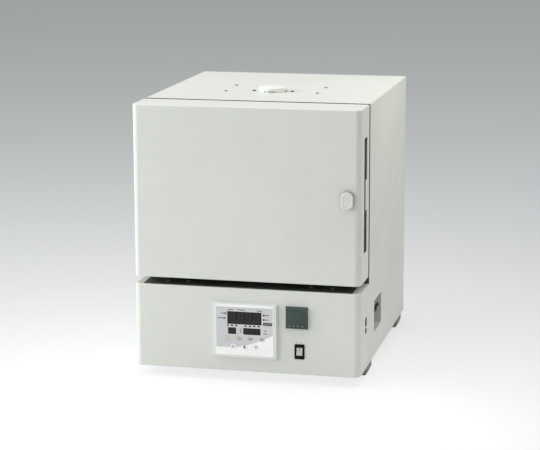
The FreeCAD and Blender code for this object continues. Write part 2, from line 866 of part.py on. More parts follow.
def liner_screw_places():
    x = half - lip
    dz = (top_z - door_low) / 2 - lip
    return [(sx * x, door_mid_z + sz * dz) for sx in (-1, 1) for sz in (-1, 0, 1)]


def make_door_liner():
    inset = sheet + fit_gap
    width = case_width - 2 * inset
    height = top_z - door_low - 2 * inset
    liner = plate("y", 0, door_mid_z, width, height, door_back - sheet, door_back)
    cuts = [plate("y", 0, door_mid_z, chamber_width - 2 * plug_gap + 2 * fit_gap,
                  chamber_height - 2 * plug_gap + 2 * fit_gap, door_back - 5, door_back + 1)]
    cuts.append(bar("y", knob_x, knob_z, spindle_radius + running_gap, door_back - 5, door_back + 1))
    cuts += [screw_hole("y", x, z, door_back - 5, door_back + 1) for x, z in liner_screw_places()]
    return cut_all(liner, cuts)


def make_door_insulation():
    width = case_width - 2 * door_slab_margin
    height = top_z - door_low - door_slab_margin
    return plate("y", 0, door_mid_z, width, height, door_slab_front, door_back - sheet)


def make_door_plug():
    # Tapered block that fills the chamber mouth
    size = (chamber_width - 2 * plug_gap, chamber_height - 2 * plug_gap)
    tip = (size[0] - 2 * plug_taper, size[1] - 2 * plug_taper)
    root = plate("y", 0, door_mid_z, size[0], size[1], door_back - sheet, door_back)
    cone = frustum(0, door_mid_z, size, door_back, tip, front_depth + plug_reach)
    return root.fuse(cone).removeSplitter()


def make_door_gasket():
    # Flat fibre ring round the plug, just clear of the front frame
    inner_w = chamber_width + 2 * gasket_margin
    inner_h = chamber_height + 2 * gasket_margin
    y0, y1 = door_back, frame_front - fit_gap
    ring = plate("y", 0, door_mid_z, inner_w + 2 * gasket_width, inner_h + 2 * gasket_width, y0, y1, 12.0)
    return ring.cut(plate("y", 0, door_mid_z, inner_w, inner_h, y0 - 1, y1 + 1, 4.0))


def make_door_screws():
    screws = [screw("x", y, z, -half - hinge_plate, 1) for y, z in leaf_screw_places(-1)]
    screws += [screw("y", x, z, door_back, -1) for x, z in liner_screw_places()]
    return Part.makeCompound(screws)


def make_latch_knob():
    back = -knob_clear
    front = back - knob_thickness
    knob = oblong("y", knob_x, knob_z, knob_width, knob_height, front, back)
    rim = [e for e in knob.Edges if e.BoundBox.YMax < front + 0.01]
    knob = knob.makeChamfer(knob_bevel, rim)
    return knob.cut(bar("y", knob_x, knob_z, spindle_radius + press_gap, back - 6, back + 1))


def make_latch_spindle():
    spindle = bar("y", knob_x, knob_z, spindle_radius, -knob_clear - 6 + press_gap, spindle_end)
    collar = bar("y", knob_x, knob_z, spindle_radius + 2, sheet + fit_gap, sheet + fit_gap + 3)
    return spindle.fuse(collar).removeSplitter()


def make_latch_cam():
    cam = oblong("y", knob_x, knob_z, cam_width, cam_length, cam_y, cam_y + cam_thickness)
    return cam.cut(bar("y", knob_x, knob_z, spindle_radius + press_gap,
                       cam_y - 1, cam_y + cam_thickness + 1))


def key_places():
    # Four keys in the upper row, three in the lower one, set between them
    left = controller_x + key_row_x
    upper = [(left + i * key_pitch, controller_mid_z + key_row_z) for i in range(4)]
    lower = [(x + key_pitch / 2, z - key_row_drop) for x, z in upper[:3]]
    return upper + lower


def key_prism(x, z, grow, s0, s1):
    # Key outline with bevelled corners
    w, h = key_size[0] / 2 + grow, key_size[1] / 2 + grow
    c = key_corner
    outline = [(-w + c, -h), (w - c, -h), (w, -h + c), (w, h - c),
               (w - c, h), (-w + c, h), (-w, h - c), (-w, -h + c)]
    return prism("y", [(x + u, z + v) for u, v in outline], s0, s1)


def window_places():
    sizes = (display_size, step_window_size, set_window_size)
    places = (display_place, step_window_place, set_window_place)
    return [(controller_x + x, controller_mid_z + z, w, h) for (w, h), (x, z) in zip(sizes, places)]


def make_controller_housing():
    # Flange, raised front with stepped sides, and the body behind the panel, in one moulding
    front = -controller_proud
    housing = plate("y", controller_x, controller_mid_z, controller_width, controller_height,
                    -controller_flange, 0, controller_corner)
    wide, tall = controller_width - 2 * controller_rim, controller_height - 2 * controller_rim
    shrink = 2 * controller_step
    housing = housing.fuse(frustum(controller_x, controller_mid_z, (wide, tall), -controller_flange,
                                   (wide - shrink, tall - shrink), front))
    housing = housing.fuse(plate("y", controller_x, controller_mid_z, controller_cut_width,
                                 controller_cut_height, 0, controller_body_depth))
    housing = housing.removeSplitter()
    well = front + key_length + key_travel + fit_gap
    cuts = [key_prism(x, z, key_gap, front - 1, well) for x, z in key_places()]
    cuts += [plate("y", x, z, w, h, front - 1, front + controller_wall) for x, z, w, h in window_places()]
    return cut_all(housing, cuts)


def make_controller_face():
    # Printed sheet on the housing's front, open at the windows and keys
    front = -controller_proud
    face = plate("y", controller_x + face_shift[0], controller_mid_z + face_shift[1], face_width,
                 face_height, front - face_thickness, front, 2.0)
    cuts = [key_prism(x, z, key_gap, front - 2, front + 1) for x, z in key_places()]
    cuts += [plate("y", x, z, w, h, front - 2, front + 1) for x, z, w, h in window_places()]
    return cut_all(face, cuts)


def make_display_windows():
    # Dark windows: three in the main controller, one in the over-temperature controller
    front = -controller_proud - face_thickness - window_proud
    windows = [
        plate("y", x, z, w - 2 * press_gap, h - 2 * press_gap, front, -controller_proud + controller_wall)
        for x, z, w, h in window_places()
    ]
    windows.append(plate("y", limit_x, limit_mid_z + limit_window_rise,
                         limit_window_size[0] - 2 * press_gap, limit_window_size[1] - 2 * press_gap,
                         -limit_proud + 0.2, -limit_proud + limit_window_depth))
    return Part.makeCompound(windows)


def make_key(x, z):
    front = -controller_proud - face_thickness - key_proud
    return key_prism(x, z, 0.0, front, front + key_length)


def limit_key_places():
    return [(limit_x + (i - 1.5) * limit_key_pitch, limit_mid_z - limit_key_drop) for i in range(4)]


def make_limit_controller():
    front = -limit_proud
    bezel = frustum(limit_x, limit_mid_z, (limit_size, limit_size), 0,
                    (limit_front_size, limit_front_size), front)
    body = plate("y", limit_x, limit_mid_z, limit_body_size, limit_body_size, 0, limit_body_depth)
    unit = bezel.fuse(body).removeSplitter()
    well = front + limit_key_length
    cuts = [plate("y", x, z, limit_key_size[0] + 2 * key_gap, limit_key_size[1] + 2 * key_gap,
                  front - 1, well) for x, z in limit_key_places()]
    cuts.append(plate("y", limit_x, limit_mid_z + limit_window_rise, limit_window_size[0],
                      limit_window_size[1], front - 1, front + limit_window_depth))
    return cut_all(unit, cuts)


def make_limit_key(x, z):
    front = -limit_proud - limit_key_proud
    length = limit_key_proud + limit_key_length - limit_key_travel - fit_gap
    return plate("y", x, z, limit_key_size[0], limit_key_size[1], front, front + length)


def make_switch_frame():
    frame = plate("y", switch_x, switch_mid_z, switch_width, switch_height, -switch_flange, 0, 1.5)
    frame = frame.fuse(plate("y", switch_x, switch_mid_z, switch_body_width, switch_body_height,
                             0, switch_body_depth)).removeSplitter()
    well = 2 * (rocker_radius + rocker_gap)
    return frame.cut(plate("y", switch_x, switch_mid_z, rocker_width + 2 * rocker_gap, well,
                           -switch_flange - 1, rocker_pivot_y + rocker_radius + rocker_gap))


def make_power_rocker():
    # Round-ended rocker; its upper face lies flat and its lower face leans out by the travel
    x0 = switch_x - rocker_width / 2
    drum = bar("x", rocker_pivot_y, switch_mid_z, rocker_radius, x0, x0 + rocker_width)
    reach = 2 * rocker_radius
    lean = reach * math.tan(math.radians(rocker_travel))
    outline = [
        (rocker_face_y, switch_mid_z), (rocker_face_y, switch_mid_z + reach),
        (rocker_pivot_y + reach, switch_mid_z + reach), (rocker_pivot_y + reach, switch_mid_z - reach),
        (rocker_face_y - lean, switch_mid_z - reach),
    ]
    return drum.common(prism("x", outline, x0 - 1, x0 + rocker_width + 1))


def make_breaker_recess():
    # Tray behind the opening in the case side, with a flange on the inside of the sheet
    outer = half - sheet
    floor_x = half - recess_depth
    wall = sheet
    tray = plate("x", recess_y, recess_mid_z, recess_length + 2 * wall, recess_height + 2 * wall,
                 floor_x - wall, outer)
    flange = plate("x", recess_y, recess_mid_z, recess_length + 2 * recess_flange,
                   recess_height + 2 * recess_flange, outer - wall, outer)
    tray = tray.fuse(flange).removeSplitter()
    cuts = [plate("x", recess_y, recess_mid_z, recess_length, recess_height, floor_x, half, recess_corner)]
    cuts.append(plate("x", recess_y, recess_mid_z, breaker_length + 2 * fit_gap,
                      breaker_height + 2 * fit_gap, floor_x - 5, floor_x + 1))
    return cut_all(tray, cuts)


def breaker_pivot_x():
    return half - recess_depth + breaker_proud


def make_breaker_body():
    front = half - recess_depth
    pivot = breaker_pivot_x()
    body = plate("x", recess_y, recess_mid_z, breaker_length, breaker_height,
                 front - breaker_depth, front + 2)
    boss = plate("x", recess_y, recess_mid_z, breaker_boss_length, breaker_boss_height,
                 front, pivot - 1)
    body = body.fuse(boss).removeSplitter()
    reach = lever_bar_length / 2 + rocker_gap
    return body.cut(bar("y", pivot - 4, recess_mid_z, lever_root_radius + rocker_gap,
                        recess_y - reach, recess_y + reach))


def make_breaker_lever():
    # Two toggles on one root, joined by a bar; made level and then tilted up to the ON place
    root_x = breaker_pivot_x() - 4
    y0, y1 = recess_y - lever_bar_length / 2, recess_y + lever_bar_length / 2
    lever = bar("y", root_x, recess_mid_z, lever_root_radius, y0, y1)
    tip = root_x + lever_reach
    for side in (-1, 1):
        y = recess_y + side * lever_arm_spacing / 2
        lever = lever.fuse(plate("x", y, recess_mid_z, lever_arm, lever_arm_height, root_x, tip - 2))
    lever = lever.fuse(plate("y", tip - lever_bar_depth / 2, recess_mid_z, lever_bar_depth,
                             lever_bar_height, y0, y1))
    lever = lever.removeSplitter()
    pivot = FreeCAD.Vector(root_x, recess_y, recess_mid_z)
    lever.rotate(pivot, FreeCAD.Vector(0, 1, 0), -lever_rest_angle)
    return lever


def upper_plug_body(x0, x1, grow):
    # Outline of a large circle above a small one, joined by straight sides
    big, small = upper_plug_radii[0] + grow, upper_plug_radii[1] + grow
    top = upper_plug_mid + upper_plug_span / 2
    low = upper_plug_mid - upper_plug_span / 2
    body = bar("x", plug_y, top, big, x0, x1).fuse(bar("x", plug_y, low, small, x0, x1))
    lean = math.asin((big - small) / upper_plug_span)
    c, s = math.cos(lean), math.sin(lean)
    side = [(plug_y + big * c, top - big * s), (plug_y + small * c, low - small * s)]
    other = [(2 * plug_y - y, z) for y, z in reversed(side)]
    return body.fuse(prism("x", side + other, x0, x1)).removeSplitter()


def make_side_plugs():
    x0, x1 = half - 4, half + plug_proud
    upper = upper_plug_body(x0, x1, -running_gap)
    lower = bar("x", plug_y, case_low + lower_plug_z, lower_plug_radius - running_gap, x0, x1)
    return Part.makeCompound([upper, lower])


def make_cable_gland():
    z = case_low + gland_z
    hex_end = case_depth + gland_hex_length
    gland = hexagon("y", gland_x, z, gland_hex, case_depth, hex_end)
    dome = bar("y", gland_x, z, gland_dome_radius, hex_end, hex_end + gland_dome_length)
    rim = [e for e in dome.Edges if len(e.Vertexes) == 1 and e.CenterOfMass.y > hex_end + 1]
    dome = dome.makeChamfer(gland_bevel, rim)
    thread = bar("y", gland_x, z, gland_thread_radius, case_depth - sheet - gland_tail, case_depth)
    nut_front = case_depth - sheet - gland_nut_length
    nut = hexagon("y", gland_x, z, gland_hex, nut_front, case_depth - sheet)
    gland = gland.fuse([dome, thread, nut]).removeSplitter()
    return gland.cut(bar("y", gland_x, z, gland_bore, case_depth - 50, hex_end + gland_dome_length + 1))


def make_heat_sink():
    low = case_low + 2 * sheet
    w, d = sink_size
    sink = plate("z", sink_x, sink_y, w, d, low + fin_height, low + fin_height + sink_base)
    for i in range(fin_count):
        x = sink_x - w / 2 + fin_thickness / 2 + i * (w - fin_thickness) / (fin_count - 1)
        sink = sink.fuse(plate("z", x, sink_y, fin_thickness, d, low, low + fin_height))
    return sink.removeSplitter()


def make_solid_state_relay():
    low = case_low + 2 * sheet + fin_height + sink_base
    w, d, h = relay_size
    relay = plate("z", sink_x, sink_y, w, d, low, low + h)
    y0 = sink_y - d / 2
    notch = block(sink_x - w / 2 - 1, sink_x + w / 2 + 1, y0 - 1, y0 + 12, low + h - 8, low + h + 1)
    other = notch.copy()
    other.translate(FreeCAD.Vector(0, d - 11, 0))
    return cut_all(relay, [notch, other])


def save(name, shape):
    moved = shape.copy()
    moved.translate(to_origin)
    moved.exportStep("parts/" + name + ".step")
    if not moved.isValid():
        print("not valid:", name)
    return moved


def both_leaves(sign):
    return Part.makeCompound([hinge_leaf(z, sign) for z in hinge_places()])


def main():
    os.makedirs("parts", exist_ok=True)
    pieces = {
        "case_cover": make_case_cover(),
        "rear_panel": make_rear_panel(),
        "front_cover": make_front_cover(),
        "base_pan": make_base_pan(),
        "front_frame": make_front_frame(),
        "latch_keeper": make_latch_keeper(),
        "deck": make_deck(),
        "furnace_shell": make_furnace_shell(),
        "roof_shield": make_roof_shield(),
        "insulation_walls": make_insulation_walls(),
        "insulation_roof": make_insulation_roof(),
        "insulation_floor": make_insulation_floor(),
        "insulation_back": make_insulation_back(),
        "heater_rods": make_heater_rods(),
        "heater_coils": make_heater_coils(),
        "heater_terminals": make_heater_terminals(),
        "hearth_plate": make_hearth_plate(),
        "thermocouple": make_thermocouple(),
        "exhaust_tube": make_exhaust_tube(),
        "exhaust_collar": make_exhaust_collar(),
        "exhaust_cap": make_exhaust_cap(),
        "case_screws": make_case_screws(),
        "feet": make_feet(),
        "foot_screws": make_foot_screws(),
        "hinge_leaf_case": both_leaves(1),
        "hinge_leaf_door": both_leaves(-1),
        "hinge_pins": make_hinge_pins(),
        "door_skin": make_door_skin(),
        "door_liner": make_door_liner(),
        "door_insulation": make_door_insulation(),
        "door_plug": make_door_plug(),
        "door_gasket": make_door_gasket(),
        "door_screws": make_door_screws(),
        "latch_knob": make_latch_knob(),
        "latch_spindle": make_latch_spindle(),
        "latch_cam": make_latch_cam(),
        "controller_housing": make_controller_housing(),
        "controller_face": make_controller_face(),
        "display_windows": make_display_windows(),
        "limit_controller": make_limit_controller(),
        "switch_frame": make_switch_frame(),
        "power_rocker": make_power_rocker(),
        "breaker_recess": make_breaker_recess(),
        "breaker_body": make_breaker_body(),
        "breaker_lever": make_breaker_lever(),
        "side_plugs": make_side_plugs(),
        "cable_gland": make_cable_gland(),
        "heat_sink": make_heat_sink(),
        "solid_state_relay": make_solid_state_relay(),
    }
    for i, (x, z) in enumerate(key_places()):
        pieces["key_" + str(i + 1)] = make_key(x, z)
    for i, (x, z) in enumerate(limit_key_places()):
        pieces["limit_key_" + str(i + 1)] = make_limit_key(x, z)
    whole = Part.makeCompound([save(name, shape) for name, shape in pieces.items()])
    box = whole.BoundBox
    print(len(pieces), "nodes,", len(whole.Solids), "solids; overall", round(box.XLength, 1),
          round(box.YLength, 1), round(box.ZLength, 1))


main()
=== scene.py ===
import json
import math

import bmesh
import bpy
import numpy as np
from mathutils import Matrix, Vector

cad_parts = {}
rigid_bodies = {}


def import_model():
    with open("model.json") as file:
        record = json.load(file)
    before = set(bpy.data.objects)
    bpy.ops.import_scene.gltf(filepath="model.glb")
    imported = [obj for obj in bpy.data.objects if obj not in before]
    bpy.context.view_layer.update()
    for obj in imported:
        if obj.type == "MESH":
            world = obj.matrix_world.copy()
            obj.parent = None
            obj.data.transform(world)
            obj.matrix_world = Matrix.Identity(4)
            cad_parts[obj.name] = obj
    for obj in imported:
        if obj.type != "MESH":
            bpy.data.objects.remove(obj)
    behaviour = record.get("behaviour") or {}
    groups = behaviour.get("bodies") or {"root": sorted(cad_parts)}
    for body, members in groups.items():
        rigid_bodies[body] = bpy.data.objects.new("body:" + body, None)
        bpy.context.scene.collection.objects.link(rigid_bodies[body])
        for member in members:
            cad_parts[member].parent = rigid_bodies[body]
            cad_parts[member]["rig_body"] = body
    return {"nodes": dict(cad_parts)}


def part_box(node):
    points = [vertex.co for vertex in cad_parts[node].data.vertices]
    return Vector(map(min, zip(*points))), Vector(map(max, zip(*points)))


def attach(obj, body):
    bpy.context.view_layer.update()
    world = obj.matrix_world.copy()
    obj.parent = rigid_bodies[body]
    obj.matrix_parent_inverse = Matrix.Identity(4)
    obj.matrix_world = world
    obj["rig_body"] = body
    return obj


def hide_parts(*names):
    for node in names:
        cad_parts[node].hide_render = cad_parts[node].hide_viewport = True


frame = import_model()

# An electric muffle furnace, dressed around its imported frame. Lengths are in metres unless a name
# or a note says mm.
nodes = frame["nodes"]
for leftOver in [o for o in bpy.data.objects if o.name in ("Cube", "Light", "Camera")]:
    bpy.data.objects.remove(leftOver)
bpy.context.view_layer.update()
print("frame loaded:", len(nodes), "nodes")


def srgb(red, green, blue):
    # Screen values from 0 to 255 as linear light: ((c + 0.055) / 1.055) ** 2.4 above the toe and
    # c / 12.92 in it
    c = np.array((red, green, blue)) / 255
    light = np.where(c > 0.04045, ((c + 0.055) / 1.055) ** 2.4, c / 12.92)
    return (*light.tolist(), 1.0)


def addNode(tree, kind, inputs=None, **settings):
    # A shader node with its settings made and its inputs set or linked
    node = tree.nodes.new("ShaderNode" + kind)
    for key, value in settings.items():
        setattr(node, key, value)
    for key, value in (inputs or {}).items():
        if isinstance(value, bpy.types.NodeSocket):
            tree.links.new(value, node.inputs[key])
        else:
            node.inputs[key].default_value = value
    return node


def sums(tree, operation, *values):
    # One Math node: its inputs in order, numbers or sockets
    return addNode(tree, "Math", dict(enumerate(values)), operation=operation).outputs[0]


def ramp(tree, value, low, high, toLow=0.0, toHigh=1.0, smooth=False):
    # The value carried from low..high to toLow..toHigh and held there beyond them
    node = addNode(tree, "MapRange", {"Value": value, "From Min": low, "From Max": high,
                                      "To Min": toLow, "To Max": toHigh}, clamp=True)
    if smooth:
        node.interpolation_type = "SMOOTHSTEP"
    return node.outputs["Result"]


def startGroup(name, scale, patch):
    # A pattern group: a place, a scale and a patch go in, a mask and a height come out
    tree = bpy.data.node_groups.new(name, "ShaderNodeTree")
    tree.interface.new_socket("Place", in_out="INPUT", socket_type="NodeSocketVector")
    for key, value in (("Scale", scale), ("Patch", patch)):
        socket = tree.interface.new_socket(key, in_out="INPUT", socket_type="NodeSocketFloat")
        socket.default_value = value
    for key in ("Mask", "Height"):
        tree.interface.new_socket(key, in_out="OUTPUT", socket_type="NodeSocketFloat")
    given = tree.nodes.new("NodeGroupInput").outputs
    return tree, given["Place"], given["Scale"], given["Patch"]


def endGroup(tree, mask, height):
    out = tree.nodes.new("NodeGroupOutput").inputs
    tree.links.new(mask, out["Mask"])
    tree.links.new(height, out["Height"])
    return tree


def noise(tree, place, scale, detail=3.0, roughness=0.55, distortion=0.0):
    inputs = {"Vector": place, "Scale": scale, "Detail": detail, "Roughness": roughness,
              "Distortion": distortion}
    return addNode(tree, "TexNoise", inputs).outputs["Fac"]


def weighed(tree, first, second, share):
    # first * share + second * (1 - share)
    return sums(tree, "ADD", sums(tree, "MULTIPLY", first, share),
                sums(tree, "MULTIPLY", second, 1 - share))


def makeGrain():
    # Orange peel or moulding grain, with broad patches that are a little off in tone
    tree, place, scale, patch = startGroup("grain", 900.0, 6.0)
    fine = noise(tree, place, scale, 2.0, 0.5)
    broad = noise(tree, place, patch, 3.0, 0.6)
    return endGroup(tree, ramp(tree, broad, 0.32, 0.68), fine)


def makeBrush():
    # Long fine lines; the Mapping node before it stretches them along the metal
    tree, place, scale, patch = startGroup("brush", 260.0, 9.0)
    lines = noise(tree, place, scale, 4.0, 0.6)
    broad = noise(tree, place, patch, 2.0, 0.5)
    return endGroup(tree, ramp(tree, weighed(tree, lines, broad, 0.7), 0.34, 0.66), lines)


def makeSpangle():
    # Zinc flowers: flat cells of different tone, with a faint frost over them
    tree, place, scale, patch = startGroup("spangle", 90.0, 14.0)
    cells = addNode(tree, "TexVoronoi", {"Vector": place, "Scale": scale})
    tone = addNode(tree, "SeparateColor", {"Color": cells.outputs["Color"]}).outputs["Red"]
    frost = noise(tree, place, patch, 4.0, 0.7)
    return endGroup(tree, weighed(tree, tone, frost, 0.6), tone)


def makeFelt():
    # Vacuum-formed ceramic fibre: matted threads, soft lumps and a few darker pits
    tree, place, scale, patch = startGroup("felt", 420.0, 24.0)
    threads = noise(tree, place, scale, 6.0, 0.75, 1.6)
    lumps = noise(tree, place, patch, 3.0, 0.5)
    pitScale = sums(tree, "MULTIPLY", scale, 0.35)
    pits = addNode(tree, "TexVoronoi", {"Vector": place, "Scale": pitScale})
    pit = ramp(tree, pits.outputs["Distance"], 0.05, 0.22, smooth=True)
    both = sums(tree, "MULTIPLY", ramp(tree, lumps, 0.3, 0.7, 0.55, 1.0), pit)
    return endGroup(tree, both, sums(tree, "ADD", threads, sums(tree, "MULTIPLY", pit, 0.4)))


def makeSpeckle():
    # Fired ceramic: small dark specks in a grainy body
    tree, place, scale, patch = startGroup("speckle", 260.0, 30.0)
    specks = addNode(tree, "TexVoronoi", {"Vector": place, "Scale": scale})
    speck = ramp(tree, specks.outputs["Distance"], 0.10, 0.24, smooth=True)
    body = noise(tree, place, patch, 4.0, 0.6)
    return endGroup(tree, sums(tree, "MULTIPLY", ramp(tree, body, 0.3, 0.7, 0.6, 1.0), speck), body)


def makeWeave():
    # Braided tape on its own map, u and v in metres: |sin(k (u + v)) + sin(k (u - v))|
    tree, place, scale, patch = startGroup("weave", 1800.0, 60.0)
    uv = addNode(tree, "SeparateXYZ", {"Vector": place})
    across = sums(tree, "ADD", uv.outputs["X"], uv.outputs["Y"])
    back = sums(tree, "SUBTRACT", uv.outputs["X"], uv.outputs["Y"])
    one = sums(tree, "SINE", sums(tree, "MULTIPLY", across, scale))
    two = sums(tree, "SINE", sums(tree, "MULTIPLY", back, scale))
    strands = sums(tree, "ABSOLUTE", sums(tree, "ADD", one, two))
    wear = noise(tree, place, patch, 3.0, 0.6)
    return endGroup(tree, ramp(tree, sums(tree, "MULTIPLY", strands, wear), 0.0, 0.7),
                    sums(tree, "MULTIPLY", strands, 0.5))


patterns = {"grain": makeGrain(), "brush": makeBrush(), "spangle": makeSpangle(),
            "felt": makeFelt(), "speckle": makeSpeckle(), "weave": makeWeave()}

# colour and shade are the two ends of a finish in screen values, rough its lowest and highest
# roughness; depth is the bump's height; a row may end with metal, shine or stretch, which scales
# the pattern along x, y and z
entries = ("colour", "shade", "rough", "pattern", "scale", "patch", "bump", "depth")
finishRows = {
    "paint": ((219, 221, 215), (214, 216, 210), (0.36, 0.44), "grain", 650, 5, 0.10, 0.00005),
    # the front frame shows only in the door gaps: its dark grey is partly the frame's own colour and
    # partly painted shade for those deep gaps
    "frame_enamel": ((66, 66, 63), (54, 54, 51), (0.42, 0.56), "grain", 650, 12, 0.12, 0.00005),
    "galvanised": ((202, 205, 206), (158, 163, 166), (0.34, 0.52),
        "spangle", 70, 30, 0.10, 0.0001, dict(metal=1.0)),
    "stainless": ((214, 213, 209), (186, 185, 181), (0.26, 0.40),
        "brush", 300, 12, 0.08, 0.00004, dict(metal=1.0, stretch=(0.06, 1, 1))),
    "hinge_steel": ((196, 196, 193), (160, 160, 158), (0.28, 0.42),
        "brush", 420, 40, 0.08, 0.00004, dict(metal=1.0, stretch=(1, 1, 0.1))),
    "screw_steel": ((176, 174, 168), (128, 126, 120), (0.28, 0.44),
        "brush", 700, 160, 0.08, 0.00003, dict(metal=1.0)),
    "fibre": ((240, 237, 228), (206, 200, 186), (0.86, 0.98), "felt", 420, 24, 0.6, 0.0006),
    "heater_ceramic": ((238, 234, 222), (206, 198, 182), (0.55, 0.75),
        "speckle", 420, 50, 0.2, 0.0001),
    "heater_wire": ((112, 104, 98), (66, 60, 58), (0.55, 0.8),
        "grain", 1600, 90, 0.25, 0.00006, dict(metal=0.6)),
    "hearth": ((226, 218, 202), (182, 168, 146), (0.7, 0.9), "speckle", 200, 26, 0.35, 0.0003),
    "foot_rubber": ((148, 145, 139), (122, 119, 114), (0.6, 0.8), "grain", 1200, 40, 0.25, 0.00008),
    "controller_plastic": ((226, 228, 225), (220, 222, 219), (0.42, 0.52),
        "grain", 1800, 16, 0.2, 0.00004),
    "window_dark": ((22, 22, 23), (15, 15, 16), (0.16, 0.24),
        "grain", 300, 60, 0.03, 0.00002, dict(shine=0.3)),
    "key_pad": ((209, 209, 208), (204, 204, 203), (0.4, 0.5), "grain", 1600, 60, 0.15, 0.00003),
    "limit_plastic": ((58, 70, 67), (48, 60, 57), (0.24, 0.34), "grain", 1700, 40, 0.2, 0.00004),
    "limit_key": ((66, 79, 75), (58, 71, 67), (0.5, 0.62),
        "grain", 1500, 90, 0.2, 0.00004, dict(shine=0.3)),
    "black_plastic": ((9, 9, 9), (5, 5, 5), (0.4, 0.54),
        "grain", 1500, 50, 0.2, 0.00005, dict(shine=0.15)),
    "rocker_plastic": ((200, 200, 198), (190, 190, 188), (0.3, 0.4),
        "grain", 1500, 80, 0.1, 0.00003),
    "recess_paint": ((212, 211, 205), (204, 203, 197), (0.45, 0.58),
        "grain", 650, 14, 0.14, 0.00006),
    "breaker_plastic": ((78, 78, 73), (68, 68, 63), (0.42, 0.54), "grain", 1400, 40, 0.2, 0.00005),
    "sink_metal": ((206, 208, 210), (180, 182, 184), (0.3, 0.44),
        "brush", 500, 20, 0.08, 0.00004, dict(metal=1.0, stretch=(1, 0.05, 1))),
    "relay_plastic": ((60, 60, 63), (46, 46, 49), (0.4, 0.55), "grain", 1400, 50, 0.2, 0.00005),
}
finishTable = {name: dict(zip(entries, row), **dict(*row[len(entries):]))
               for name, row in finishRows.items()}
# finishes on a slot of another name: what each starts from, then its own colour and shade
variants = {
    "screw_dark": ("screw_steel", (92, 91, 86), (60, 59, 55)),
    "ink_dark": ("black_plastic", (36, 35, 38), (26, 25, 28)),
    "ink_grey": ("key_pad", (118, 115, 116), (106, 103, 104)),
    "ink_soft": ("key_pad", (184, 180, 180), (174, 170, 170)),
    "key_yellow": ("key_pad", (204, 203, 160), (196, 195, 150)),
    "key_white": ("key_pad", (247, 248, 245), (243, 244, 241)),
    "cap_enamel": ("paint", (229, 230, 225), (225, 226, 221)),
    # the knob's side wall: the door paint made darker, as painted shade
    "knob_wall": ("paint", (88, 87, 82), (80, 79, 74)),
    "segment": ("window_dark", (48, 47, 49), (40, 39, 41)),
    "limit_window": ("window_dark", (62, 77, 72), (57, 71, 67)),
    "limit_digit": ("limit_key", (72, 86, 81), (68, 82, 77)),
    "limit_ink": ("limit_key", (168, 180, 176), (146, 160, 155)),
    "rocker_mark": ("rocker_plastic", (108, 108, 107), (96, 96, 95)),
}
for name, (base, colour, shade) in variants.items():
    finishTable[name] = dict(finishTable[base], colour=colour, shade=shade)
finishTable["gasket"] = dict(finishTable["fibre"], pattern="weave", scale=1500, patch=40,
                             depth=0.0004)


def clearTree(owner):
    owner.use_nodes = True
    owner.node_tree.nodes.clear()
    return owner.node_tree


def addObject(name, data):
    item = bpy.data.objects.new(name, data)
    bpy.context.scene.collection.objects.link(item)
    return item


def startMaterial(name):
    material = bpy.data.materials.new(name)
    tree = clearTree(material)
    shader = addNode(tree, "BsdfPrincipled")
    tree.links.new(shader.outputs[0], addNode(tree, "OutputMaterial").inputs["Surface"])
    return material, tree, shader


def mixColours(tree, mask, low, high):
    node = addNode(tree, "Mix", {"Factor": mask}, data_type="RGBA")
    for key, value in (("A", low), ("B", high)):
        socket = [s for s in node.inputs if s.name == key and s.type == "RGBA"][0]
        if isinstance(value, bpy.types.NodeSocket):
            tree.links.new(value, socket)
        else:
            socket.default_value = value
    return [s for s in node.outputs if s.type == "RGBA"][0]


def addPattern(tree, place, pattern, given):
    # A shared pattern laid in a material with the material's own numbers; gives mask and height
    inputs = {"Place": place, "Scale": given["scale"], "Patch": given["patch"]}
    group = addNode(tree, "Group", inputs, node_tree=patterns[pattern])
    return group.outputs["Mask"], group.outputs["Height"]


def addSurface(tree, shader, colour, mask, height, given):
    # Colour as it comes, roughness from highest to lowest with the mask, and the height as bump
    rough = ramp(tree, mask, 0.0, 1.0, given["rough"][1], given["rough"][0])
    bump = addNode(tree, "Bump", {"Strength": given["bump"], "Distance": given["depth"],
                                  "Height": height}).outputs["Normal"]
    for key, value in (("Base Color", colour), ("Roughness", rough), ("Normal", bump)):
        tree.links.new(value, shader.inputs[key])


def makeFinish(name, given):
    # Colour and roughness follow the pattern's mask, the normal follows its height
    material, tree, shader = startMaterial("finish_" + name)
    place = addNode(tree, "TexCoord").outputs["UV" if given["pattern"] == "weave" else "Object"]
    if "stretch" in given:
        place = addNode(tree, "Mapping", {"Vector": place, "Scale": given["stretch"]}).outputs[0]
    mask, height = addPattern(tree, place, given["pattern"], given)
    colour = mixColours(tree, mask, srgb(*given["shade"]), srgb(*given["colour"]))
    addSurface(tree, shader, colour, mask, height, given)
    shader.inputs["Metallic"].default_value = given.get("metal", 0.0)
    shader.inputs["Specular IOR Level"].default_value = given.get("shine", 0.5)
    return material


# lengths from the sheet's middle
faceSheet = dict(left=-0.0282, right=0.0608, lineLow=-0.0383, rise=0.0296, sweep=1.6, top=0.0497,
                 side=0.0614, soft=0.0003, grey=(208, 208, 208), greyShade=(203, 203, 205),
                 white=(250, 251, 248), whiteShade=(245, 246, 243), rough=(0.34, 0.42),
                 scale=1500, patch=18, bump=0.12, depth=0.00003)


